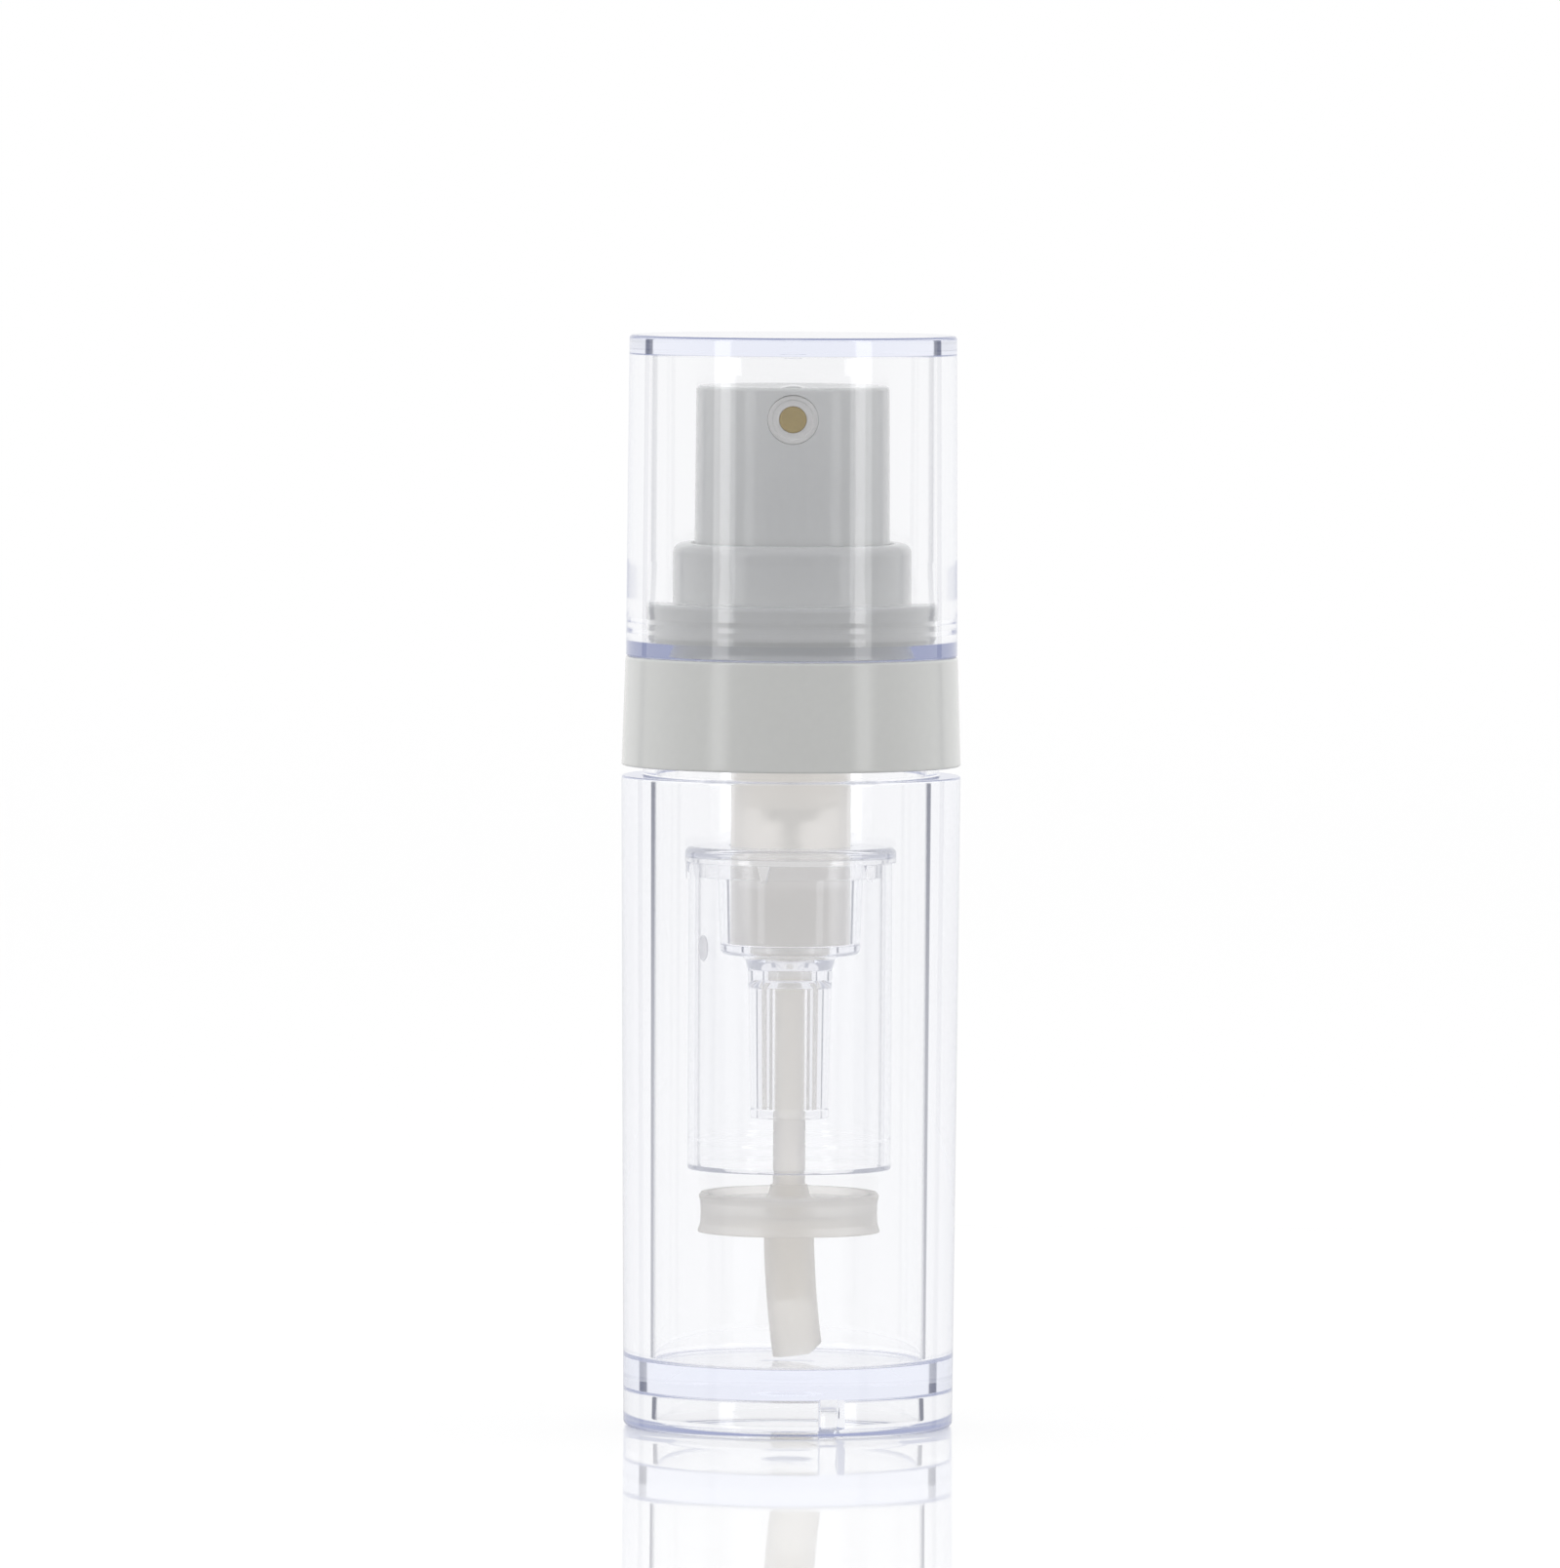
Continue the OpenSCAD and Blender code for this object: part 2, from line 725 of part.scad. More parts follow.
// Barrel with the neck flange, whose wall runs on below its floor as a sleeve round the valve
// foot, and the dip tube's spout
module pump_housing() {
    tube_seat = dip_top + seat_fit;
    sleeve_low = socket_floor_top + seat_fit;
    color(milky_plastic)
    difference() {
        rotate_extrude()
        polygon([
            [housing_r, flange_low],
            [plug_r - plug_wall, flange_low],
            [plug_r - plug_wall, flange_low - plug_h],
            [plug_r - plug_lead, flange_low - plug_h],
            [plug_r, flange_low - plug_h + plug_lead],
            [plug_r, flange_low],
            [flange_r, flange_low],
            [flange_r, flange_top],
            [housing_bore_r, flange_top],
            [housing_bore_r, housing_low + housing_floor],
            [cage_r + press_fit, housing_low + housing_floor],
            [cage_r + press_fit, cage_low],
            [ball_r, cage_low],
            [ball_seat_r, ball_seat_z],
            [dip_bore / 2, ball_seat_z - seat_land],
            [dip_bore / 2, tube_seat],
            [dip_r + press_fit, tube_seat],
            [dip_r + press_fit, nipple_low],
            [nipple_r - chamfer / 2, nipple_low],
            [nipple_r, nipple_low + chamfer / 2],
            [nipple_r, foot_low - foot_cone],
            [foot_r2, foot_low],
            [foot_r2, housing_low],
            [housing_bore_r, housing_low],
            [housing_bore_r, sleeve_low],
            [housing_r - chamfer, sleeve_low],
            [housing_r, sleeve_low + chamfer]
        ]);
        forward(flange_low - vent_drop, vent_r, 0, housing_d);
    }
}

// White insert that holds the inlet ball down to its lift
module valve_cage() {
    ball_bore = ball_r + ball_room;
    pin_bore = pin_r + 0.25;
    color(white_plastic)
    difference() {
        rotate_extrude()
        polygon([
            [ball_bore, cage_low + seat_fit],
            [cage_r, cage_low + seat_fit],
            [cage_r, cage_top - chamfer],
            [cage_r - chamfer, cage_top],
            [pin_bore, cage_top],
            [pin_bore, cage_ledge],
            [ball_bore, cage_ledge]
        ]);
        for (turn = [0, 120, 240])
            rotate(turn)
            translate([pin_r, -cage_slot_w / 2, cage_ledge - lap])
            cube([cage_slot_d, cage_slot_w, cage_top - cage_ledge + 2 * lap]);
    }
}

// Steel ball of the inlet valve
module inlet_ball() {
    color("silver")
    translate([0, 0, ball_z])
    sphere(r = ball_r);
}

// Clear lid, socket and guide tube in one piece, which carries the inner chamber
module chamber_holder() {
    color(clear_plastic) {
        rotate_extrude()
        polygon(concat(
            [[socket_bore_r, lid_top]],
            [[socket_bore_r, socket_floor_top], [foot_r2 + slide_fit, socket_floor_top]],
            [[foot_r2 + slide_fit, foot_low - seat_fit]],
            [[nipple_fit_r, foot_low - foot_cone - seat_fit]],
            [[nipple_fit_r, guide_roof + roof_cone_h]],
            [[guide_bore_r2, guide_roof], [guide_bore_r2, guide_low]],
            [[guide_foot_r + seat_fit, guide_low], [guide_foot_r + seat_fit, guide_low + guide_band_h]],
            [[guide_foot_r, guide_low + guide_band_h + seat_fit]],
            [[guide_tube_r, socket_low - funnel_h]],
            [[guide_tube_r + funnel_waist, socket_low - funnel_h / 3]],
            [[guide_tube_r + funnel_root, socket_low]],
            arc([socket_r - socket_draft - socket_edge, socket_low + socket_edge], socket_edge, -90, 0),
            [[socket_r, lid_low]],
            [[chamber_bore_r - slide_fit - spigot_t, lid_low]],
            [[chamber_bore_r - slide_fit - spigot_t, lid_low - spigot_l]],
            [[chamber_bore_r - slide_fit, lid_low - spigot_l], [chamber_bore_r - slide_fit, lid_low]],
            [[chamber_r + slide_fit, lid_low], [chamber_r + slide_fit, rim_low], [lid_r, rim_low]],
            arc([lid_r - lid_edge, lid_top - lid_edge], lid_edge, 0, 90)
        ));
        lid_teeth();
        centring_ribs();
    }
}

// Pointed teeth under the lid's rim
module lid_teeth() {
    intersection() {
        ring(chamber_r + slide_fit, lid_r, rim_low - tooth_l, rim_low + lid_rim / 2);
        for (i = [0 : teeth - 1])
            rotate(tooth_turn - 90 + i * 360 / teeth)
            translate([0, 0, rim_low])
            rotate([90, 0, 90])
            linear_extrude(lid_r + 1)
            polygon([
                [-tooth_w / 2, lap],
                [-tooth_w / 2, 0],
                [-tooth_tip_w / 2, -tooth_l],
                [tooth_tip_w / 2, -tooth_l],
                [tooth_w / 2, 0],
                [tooth_w / 2, lap]
            ]);
    }
}

// Ribs in the guide tube that keep the spout on the axis
module centring_ribs() {
    rib_low = nipple_low + seat_fit;
    for (i = [0 : guide_ribs - 1])
        rotate(45 + i * 360 / guide_ribs)
        translate([nipple_fit_r, -rib_t / 2, rib_low])
        cube([guide_bore_r2 - nipple_fit_r + lap, rib_t, guide_roof + roof_cone_h - rib_low]);
}

// Clear tube of the inner chamber, with a shallow bead that parks the release piston
module inner_chamber() {
    bead_mid = chamber_low + release_seat + release_h * 0.5;
    color(clear_plastic)
    rotate_extrude()
    polygon(concat(
        [[chamber_bore_r, chamber_low]],
        arc([chamber_r - chamber_edge, chamber_low + chamber_edge], chamber_edge, -90, 0, 3),
        [[chamber_r, chamber_top], [chamber_bore_r, chamber_top]],
        [[chamber_bore_r, bead_mid + park_bead_half], [chamber_bore_r - park_bead, bead_mid]],
        [[chamber_bore_r, bead_mid - park_bead_half]]
    ));
}

// Thin tube from the housing's spout down into the release piston
module upper_dip_tube() {
    color(milky_plastic)
    ring(dip_bore / 2, dip_r, dip_low, dip_top);
}

// Double-lipped piston that closes the inner chamber, with a wiper round the upper tube
module release_piston() {
    top = release_z + release_h;
    color(milky_plastic)
    difference() {
        union() {
            rotate_extrude()
            polygon([
                [release_bore_r, top + boss_h],
                [release_bore_r, web_low],
                [lip_low_r - skirt_wall - 0.2, web_low],
                [lip_low_r - 0.35, release_z],
                [lip_low_r, release_z],
                [lip_low_r - 0.05, release_z + 0.2],
                [waist_r, release_z + 0.9],
                [waist_r - 0.05, release_z + release_h * 0.5],
                [waist_r, top - 1.0],
                [lip_top_r, top - 0.35],
                [lip_top_r - 0.25, top],
                [lip_top_r - skirt_wall, top - 0.1],
                [lip_top_r - skirt_wall - dish_step, web_top],
                [release_bore_r + boss_flare, web_top - 0.1],
                [release_bore_r + boss_flare / 2, web_top + boss_flare / 2],
                [release_bore_r + 0.2, top + boss_h]
            ]);
            bent_bar(spout_r, -spout_root, spout_turn);
        }
        translate([0, 0, spout_low - 5])
        cylinder(r = release_bore_r, h = web_low + 6 - spout_low);
        for (turn = [0, 180])
            rotate(turn)
            translate([release_bore_r + boss_flare + seat_fit, -slot_w / 2, web_top - slot_l])
            cube([slot_l, slot_w, 2 * slot_l]);
    }
}

// Wide tube from the release piston down to the floor, slightly bent and cut at its foot
module lower_dip_tube() {
    foot_x = bend_r - bend_r * cos(bend_turn);
    color(milky_plastic)
    difference() {
        bent_bar(lower_r, 0, bend_turn);
        bent_bar(lower_bore_r, -1, bend_turn + 1);
        translate([foot_x + lower_r * 0.4, -lower_d, floor_z])
        rotate([0, -foot_cut_turn, 0])
        translate([0, 0, foot_cut_h - lower_r])
        cube([lower_d, 2 * lower_d, lower_r]);
    }
}

outer_bottle();
neck_gasket();
collar();
overcap();
actuator();
nozzle_insert();
nozzle_valve();
stem();
plunger();
pump_piston();
return_spring();
chaplet();
pump_housing();
valve_cage();
inlet_ball();
chamber_holder();
inner_chamber();
upper_dip_tube();
release_piston();
lower_dip_tube();
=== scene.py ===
from math import cos, pi, radians, sin, tan

import bmesh
import bpy
from mathutils import Matrix, Quaternion, Vector


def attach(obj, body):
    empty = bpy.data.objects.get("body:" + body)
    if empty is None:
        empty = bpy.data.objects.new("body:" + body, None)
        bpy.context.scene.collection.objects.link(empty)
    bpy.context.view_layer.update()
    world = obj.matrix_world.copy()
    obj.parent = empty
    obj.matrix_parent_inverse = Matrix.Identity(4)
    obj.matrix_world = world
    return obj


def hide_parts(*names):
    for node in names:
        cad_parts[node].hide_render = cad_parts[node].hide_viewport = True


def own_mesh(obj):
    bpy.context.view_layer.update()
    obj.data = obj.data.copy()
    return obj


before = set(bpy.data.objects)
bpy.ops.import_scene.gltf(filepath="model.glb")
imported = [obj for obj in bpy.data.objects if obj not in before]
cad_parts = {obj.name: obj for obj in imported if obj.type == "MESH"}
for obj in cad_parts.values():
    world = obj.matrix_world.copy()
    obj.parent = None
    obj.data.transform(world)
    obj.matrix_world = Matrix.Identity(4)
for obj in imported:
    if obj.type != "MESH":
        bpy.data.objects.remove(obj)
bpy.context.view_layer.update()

scene = bpy.context.scene
scene.view_settings.view_transform = "Standard"

MM = 0.001
FULL_TURN = 2 * pi
STEPS = 192  # faces round a turned piece
FINE_STEPS = 96  # faces round a thin one
WELD = 0.002 * MM
FLANK = 0.12 * MM  # from a long side's ends to its first points


# Camera: a long way off and a little higher than the bottle, which it looks slightly down on

EYE = Vector((-1.13, -1477, 142)) * MM
AIM = Vector((-1.13, 0, 65.9)) * MM
ROLL = radians(0.3)  # half of what the photographed bottle leans under its pump
VIEW_HEIGHT = 160.8 * MM  # what the picture's height covers at the bottle
SENSOR = 36.0

camera_data = bpy.data.cameras.new("camera")
camera_data.sensor_fit = "VERTICAL"
camera_data.sensor_height = SENSOR
camera_data.lens = SENSOR * (AIM - EYE).length / VIEW_HEIGHT
camera_data.clip_start = 0.05
camera_data.clip_end = 20
camera = bpy.data.objects.new("camera", camera_data)
camera.location = EYE
camera.rotation_euler = ((AIM - EYE).to_track_quat("-Z", "Y")
                         @ Quaternion((0, 0, 1), ROLL)).to_euler()
scene.collection.objects.link(camera)
scene.camera = camera


# Materials

def linear(hexadecimal):
    """The linear colour of an sRGB hex value."""
    shares = [int(hexadecimal[i:i + 2], 16) / 255 for i in (1, 3, 5)]
    return [s / 12.92 if s <= 0.04045 else ((s + 0.055) / 1.055) ** 2.4 for s in shares] + [1]


def add(tree, kind, fields, inputs):
    """Add a node, set its fields, and set or link its inputs."""
    node = tree.nodes.new(kind)
    for name, value in fields.items():
        setattr(node, name, value)
    for name, value in inputs.items():
        if isinstance(value, bpy.types.NodeSocket):
            tree.links.new(value, node.inputs[name])
        else:
            node.inputs[name].default_value = value
    return node


def empty_tree(owner):
    """The owner's node tree, with nothing in it."""
    owner.use_nodes = True
    owner.node_tree.nodes.clear()
    return owner.node_tree


def grain(tree, size_mm, height_mm, detail=3.0, stretch=(1, 1, 1)):
    """A fine uneven surface, and the noise behind it."""
    place = add(tree, "ShaderNodeTexCoord", {}, {})
    scaled = add(tree, "ShaderNodeMapping", {}, {
        "Vector": place.outputs["Object"], "Scale": stretch})
    noise = add(tree, "ShaderNodeTexNoise", {}, {
        "Vector": scaled.outputs["Vector"], "Scale": 1 / (size_mm * MM), "Detail": detail})
    bump = add(tree, "ShaderNodeBump", {}, {
        "Strength": 1.0, "Distance": height_mm * MM, "Height": noise.outputs["Fac"]})
    return noise, bump


def spread(tree, value, low, high):
    """A noise value from 0.3 to 0.7 spread between low and high."""
    ranged = add(tree, "ShaderNodeMapRange", {}, {
        "Value": value, "From Min": 0.3, "From Max": 0.7, "To Min": low, "To Max": high})
    return ranged.outputs["Result"]


def blend_colours(tree, value, first, second):
    """Two sRGB colours mixed by a noise value."""
    mixed = add(tree, "ShaderNodeMix", {"data_type": "RGBA"}, {"Factor": value})
    mixed.inputs["A"].default_value = linear(first)
    mixed.inputs["B"].default_value = linear(second)
    return mixed.outputs["Result"]


MANY_MIRRORINGS = 3.5  # a ray that has met more of them is trapped in a wall
MANY_SURFACES = 10.5  # and after more of these it has passed the whole object
GLOW_ON_PIECES = 0.6  # how bright the painted glow of such a ray is where it lights another piece


def let_through(tree, shader, painted_glow_colour, painted_trapped_glow, brightness):
    """A shader that lamps shine through. Cycles ends a ray in black when it has met too many
    surfaces. Before that, this ends it in a painted glow: the white round the object, or, where it
    has run to and fro inside a wall, a darker tint that is part the plastic's own and part painted
    shade."""
    rays = add(tree, "ShaderNodeLightPath", {}, {})

    def over(output, limit):
        node = add(tree, "ShaderNodeMath", {"operation": "GREATER_THAN"}, {})
        tree.links.new(rays.outputs[output], node.inputs[0])
        node.inputs[1].default_value = limit
        return node.outputs[0]

    trapped = over("Glossy Depth", MANY_MIRRORINGS)
    ended = add(tree, "ShaderNodeMath", {"operation": "MAXIMUM"}, {})
    tree.links.new(over("Ray Depth", MANY_SURFACES), ended.inputs[0])
    tree.links.new(trapped, ended.inputs[1])
    strength = add(tree, "ShaderNodeMapRange", {}, {
        "Value": over("Diffuse Depth", 0.5), "To Min": brightness,
        "To Max": GLOW_ON_PIECES})
    # Painted light: an emission glow where a ray ends, in place of the light it would have brought
    glow = add(tree, "ShaderNodeEmission", {}, {
        "Color": blend_colours(tree, trapped, painted_glow_colour, painted_trapped_glow),
        "Strength": strength.outputs["Result"]})
    ending = add(tree, "ShaderNodeMixShader", {}, {"Fac": ended.outputs[0]})
    tree.links.new(shader, ending.inputs[1])
    tree.links.new(glow.outputs["Emission"], ending.inputs[2])
    passing = add(tree, "ShaderNodeBsdfTransparent", {}, {"Color": linear("#FAFAFC")})
    lit = add(tree, "ShaderNodeMixShader", {}, {"Fac": rays.outputs["Is Shadow Ray"]})
    tree.links.new(ending.outputs["Shader"], lit.inputs[1])
    tree.links.new(passing.outputs["BSDF"], lit.inputs[2])
    return lit.outputs["Shader"]


def clear_copolyester(name, wave_height_mm, painted_trapped_glow):
    """Injection-moulded clear copolyester, as polished as its mould: glassy and faintly wavy, with
    the lavender of its blue toner wherever light runs a long way through it, and a painted
    lavender-grey glow, part toner and part painted shade, where a ray is trapped in a wall."""
    material = bpy.data.materials.new(name)
    tree = empty_tree(material)
    noise, bump = grain(tree, 6, wave_height_mm, 1.0, (1, 1, 0.35))
    shader = add(tree, "ShaderNodeBsdfPrincipled", {}, {
        "Base Color": (1, 1, 1, 1), "Roughness": 0.0, "IOR": 1.57,
        "Transmission Weight": 1.0, "Normal": bump.outputs["Normal"]})
    toner = add(tree, "ShaderNodeVolumeAbsorption", {}, {
        "Color": linear("#9EB2F2"), "Density": 7.2})
    add(tree, "ShaderNodeOutputMaterial", {}, {
        "Surface": let_through(tree, shader.outputs["BSDF"], "#FAFAFC", painted_trapped_glow, 0.92),
        "Volume": toner.outputs["Volume"]})
    return material


def white_polypropylene(name):
    """Opaque white polypropylene from a fine-ground mould: a soft gloss that draws lamps out
    into long bands, with a barely uneven skin."""
    material = bpy.data.materials.new(name)
    tree = empty_tree(material)
    noise, bump = grain(tree, 0.8, 0.0006)
    shader = add(tree, "ShaderNodeBsdfPrincipled", {}, {
        "Base Color": blend_colours(tree, noise.outputs["Fac"], "#EDEEEC", "#F1F2F0"),
        "Roughness": spread(tree, noise.outputs["Fac"], 0.14, 0.2), "IOR": 1.49,
        "Normal": bump.outputs["Normal"]})
    add(tree, "ShaderNodeOutputMaterial", {}, {"Surface": shader.outputs["BSDF"]})
    return material


def milky_plastic(name, light, dark, clearness, roughness, painted_backlight_share):
    """Plastic without pigment, or clear plastic where it is torn: cloudy, with a painted glow that
    stands in for the light behind it hanging in its walls, weaker deep inside other pieces, and
    what it holds shows as soft shadows."""
    material = bpy.data.materials.new(name)
    tree = empty_tree(material)
    noise, bump = grain(tree, 0.8, 0.0015, 4.0, (1, 1, 0.3))
    shader = add(tree, "ShaderNodeBsdfPrincipled", {}, {
        "Base Color": blend_colours(tree, noise.outputs["Fac"], light, dark),
        "Roughness": roughness, "IOR": 1.49, "Transmission Weight": clearness,
        "Normal": bump.outputs["Normal"]})
    rays = add(tree, "ShaderNodeLightPath", {}, {})
    reach = add(tree, "ShaderNodeMapRange", {}, {
        "Value": rays.outputs["Transmission Depth"], "From Min": 5, "From Max": 9,
        "To Min": 0.97, "To Max": 0.15})
    # Painted light: an emission glow standing in for the light scattered through the walls from
    # behind, weaker the deeper the ray
    painted_backlight = add(tree, "ShaderNodeEmission", {}, {
        "Color": linear(light), "Strength": reach.outputs["Result"]})
    body = add(tree, "ShaderNodeMixShader", {}, {"Fac": painted_backlight_share})
    tree.links.new(shader.outputs["BSDF"], body.inputs[1])
    tree.links.new(painted_backlight.outputs["Emission"], body.inputs[2])
    add(tree, "ShaderNodeOutputMaterial", {}, {
        "Surface": let_through(tree, body.outputs["Shader"], light, dark, 0.75)})
    return material


def foamed_polyethylene(name):
    """Closed-cell foam of the sealing ring: dull white, with cells of a tenth of a millimetre."""
    material = bpy.data.materials.new(name)
    tree = empty_tree(material)
    place = add(tree, "ShaderNodeTexCoord", {}, {})
    cells = add(tree, "ShaderNodeTexVoronoi", {}, {
        "Vector": place.outputs["Object"], "Scale": 1 / (0.12 * MM)})
    bump = add(tree, "ShaderNodeBump", {}, {
        "Strength": 0.6, "Distance": 0.02 * MM, "Height": cells.outputs["Distance"]})
    shader = add(tree, "ShaderNodeBsdfPrincipled", {}, {
        "Base Color": blend_colours(tree, cells.outputs["Distance"], "#D6D6D3", "#E6E6E3"),
        "Roughness": 0.75, "IOR": 1.5, "Normal": bump.outputs["Normal"]})
    add(tree, "ShaderNodeOutputMaterial", {}, {"Surface": shader.outputs["BSDF"]})
    return material


def tan_silicone(name):
    """Moulded silicone of the nozzle's valve: dull tan, a little mottled."""
    material = bpy.data.materials.new(name)
    tree = empty_tree(material)
    noise, bump = grain(tree, 0.25, 0.01, 4.0)
    shader = add(tree, "ShaderNodeBsdfPrincipled", {}, {
        "Base Color": blend_colours(tree, noise.outputs["Fac"], "#BAA36A", "#CAB57C"),
        "Roughness": spread(tree, noise.outputs["Fac"], 0.45, 0.6), "IOR": 1.41,
        "Normal": bump.outputs["Normal"]})
    add(tree, "ShaderNodeOutputMaterial", {}, {"Surface": shader.outputs["BSDF"]})
    return material


def stainless_steel(name, roughness_low, roughness_high, line_mm):
    """Stainless steel, drawn as wire or polished as a ball: grey metal with fine lines."""
    material = bpy.data.materials.new(name)
    tree = empty_tree(material)
    noise, bump = grain(tree, line_mm, 0.001, 5.0)
    shader = add(tree, "ShaderNodeBsdfPrincipled", {}, {
        "Base Color": blend_colours(tree, noise.outputs["Fac"], "#B4B3B0", "#C6C5C2"),
        "Metallic": 1.0,
        "Roughness": spread(tree, noise.outputs["Fac"], roughness_low, roughness_high),
        "Normal": bump.outputs["Normal"]})
    add(tree, "ShaderNodeOutputMaterial", {}, {"Surface": shader.outputs["BSDF"]})
    return material


# Their last colour is the painted glow of a ray trapped in a wall, part toner and part painted
# shade
bottle_clear = clear_copolyester("clear copolyester, bottle", 0.0013, "#C4C8DA")
cap_clear = clear_copolyester("clear copolyester, cap", 0.0013, "#A6ACC8")
thin_clear = clear_copolyester("clear copolyester, thin", 0.0005, "#C2C4CC")
white = white_polypropylene("white polypropylene, moulded")
# The last number of each is the share of painted glow in the plastic
milky = milky_plastic(
    "natural polypropylene, moulded", "#FDFBF8", "#FAF8F5", 0.94, 0.35, 0.16)
soft_milky = milky_plastic(
    "natural polyethylene, moulded", "#FBF9F5", "#F8F6F2", 0.92, 0.5, 0.08)
tube_plastic = milky_plastic(
    "natural polyethylene, extruded", "#FDFBF7", "#FAF8F4", 0.92, 0.4, 0.01)
torn = milky_plastic("clear copolyester, torn", "#F0F0F3", "#D2D2D8", 0.9, 0.5, 0.45)
ring_plastic = milky_plastic(
    "natural polypropylene, polished", "#FDFCF9", "#FAF9F6", 0.05, 0.3, 0.0)
foam = foamed_polyethylene("polyethylene foam, cut")
silicone = tan_silicone("tan silicone, moulded")
wire_steel = stainless_steel("stainless steel, drawn", 0.25, 0.4, 0.3)
ball_steel = stainless_steel("stainless steel, polished", 0.08, 0.15, 0.5)


# Mesh making

def profile(corners, closed):
    """A bmesh with a line through (radius, height) corners in millimetres. A third number
    rounds its corner to that radius. A point close to each end of a long side keeps its
    shading flat."""
    points = [Vector((c[0], 0, c[1])) * MM for c in corners]
    count = len(points)
    reach = [0.0] * count
    for i, corner in enumerate(corners):
        if len(corner) > 2:
            before = points[i - 1] - points[i]
            after = points[(i + 1) % count] - points[i]
            reach[i] = corner[2] * MM / tan(before.angle(after) / 2)
    bm = bmesh.new()
    verts = [bm.verts.new(point) for point in points]
    for i in range(count if closed else count - 1):
        j = (i + 1) % count
        chain = [verts[i], verts[j]]
        side = points[j] - points[i]
        if side.length > reach[i] + reach[j] + 4 * FLANK:
            along = side.normalized()
            chain[1:1] = [bm.verts.new(points[i] + along * (reach[i] + FLANK)),
                          bm.verts.new(points[j] - along * (reach[j] + FLANK))]
        for first, second in zip(chain, chain[1:]):
            bm.edges.new((first, second))
    for vert, offset in zip(verts, reach):
        if offset:
            bmesh.ops.bevel(bm, geom=[vert], offset=offset, offset_type="OFFSET", segments=5,
                            profile=0.5, affect="VERTICES", material=-1)
    return bm


def turned(corners, closed=False, steps=STEPS):
    """A piece turned round the Z axis. An open line starts and ends on the axis."""
    bm = profile(corners, closed)
    bmesh.ops.spin(bm, geom=bm.verts[:] + bm.edges[:], cent=(0, 0, 0), axis=(0, 0, 1),
                   angle=FULL_TURN, steps=steps, use_merge=True)
    bmesh.ops.remove_doubles(bm, verts=bm.verts, dist=WELD)
    bmesh.ops.recalc_face_normals(bm, faces=bm.faces)
    return bm


def block(low, high, matrix=None):
    """A box between two corners in millimetres, then moved by a matrix."""
    low, high = Vector(low) * MM, Vector(high) * MM
    bm = bmesh.new()
    bmesh.ops.create_cube(bm, size=1.0)
    bmesh.ops.scale(bm, vec=high - low, verts=bm.verts)
    bmesh.ops.translate(bm, vec=(low + high) / 2, verts=bm.verts)
    if matrix:
        bmesh.ops.transform(bm, matrix=matrix, verts=bm.verts)
    return bm


def rod(radius, near, far, z, segments=96):
    """A round bar along -Y at height z, between two distances in front of the axis."""
    bm = bmesh.new()
    bmesh.ops.create_cone(bm, cap_ends=True, segments=segments, radius1=radius * MM,
                          radius2=radius * MM, depth=(far - near) * MM)
    bmesh.ops.rotate(bm, cent=(0, 0, 0), matrix=Matrix.Rotation(radians(90), 3, "X"),
                     verts=bm.verts)
    bmesh.ops.translate(bm, vec=Vector((0, -(near + far) / 2, z)) * MM, verts=bm.verts)
    return bm


def gather(parts):
    """Several meshes in one."""
    bm = bmesh.new()
    for part in parts:
        mesh = bpy.data.meshes.new("part")
        part.to_mesh(mesh)
        part.free()
        bm.from_mesh(mesh)
        bpy.data.meshes.remove(mesh)
    return bm


def combine(bm, tool, operation):
    """The mesh after a union, difference or intersection with a tool."""
    holders = []
    for part in (bm, tool):
        mesh = bpy.data.meshes.new("part")
        part.to_mesh(mesh)
        part.free()
        holder = bpy.data.objects.new("part", mesh)
        scene.collection.objects.link(holder)
        holders.append(holder)
    modifier = holders[0].modifiers.new("combine", "BOOLEAN")
    modifier.operation = operation
    modifier.solver = "EXACT"
    modifier.object = holders[1]
    graph = bpy.context.evaluated_depsgraph_get()
    result = bmesh.new()
    result.from_object(holders[0], graph)
    for holder in holders:
        mesh = holder.data
        bpy.data.objects.remove(holder)
        bpy.data.meshes.remove(mesh)
    bmesh.ops.remove_doubles(result, verts=result.verts, dist=WELD / 4)
    return result


def piece(name, bm, material, slot, body, *nodes, second=None):
    """A finished piece that stands for CAD nodes and rides on a body. Its faces with index 1
    take the second material."""
    bmesh.ops.recalc_face_normals(bm, faces=bm.faces)
    mesh = bpy.data.meshes.new(name)
    bm.to_mesh(mesh)
    bm.free()
    mesh.materials.append(material)
    if second:
        mesh.materials.append(second)
    mesh.shade_smooth()
    mesh.set_sharp_from_angle(angle=radians(35))
    made = bpy.data.objects.new(name, mesh)
    scene.collection.objects.link(made)
    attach(made, body)
    if nodes:
        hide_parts(*nodes)
    return made


def thread(radius, depth, low, pitch, turns, outward, steps_per_turn=72):
    """A screw thread: a trapezoid carried up a helix. It grows out of a wall at the radius."""
    side = 1 if outward else -1
    bm = bmesh.new()
    outline = [(-0.2, -0.75), (depth, -0.3), (depth, 0.3), (-0.2, 0.75)]
    verts = [bm.verts.new(((radius + side * x) * MM, 0, (low + z) * MM)) for x, z in outline]
    face = bm.faces.new(verts)
    steps = round(steps_per_turn * turns)
    bmesh.ops.spin(bm, geom=[face] + list(face.edges) + list(face.verts), cent=(0, 0, 0),
                   axis=(0, 0, 1), dvec=(0, 0, pitch * turns * MM / steps),
                   angle=FULL_TURN * turns, steps=steps)
    bmesh.ops.holes_fill(bm, edges=[e for e in bm.edges if e.is_boundary], sides=4)
    bmesh.ops.recalc_face_normals(bm, faces=bm.faces)
    return bm


# Outer bottle, in millimetres

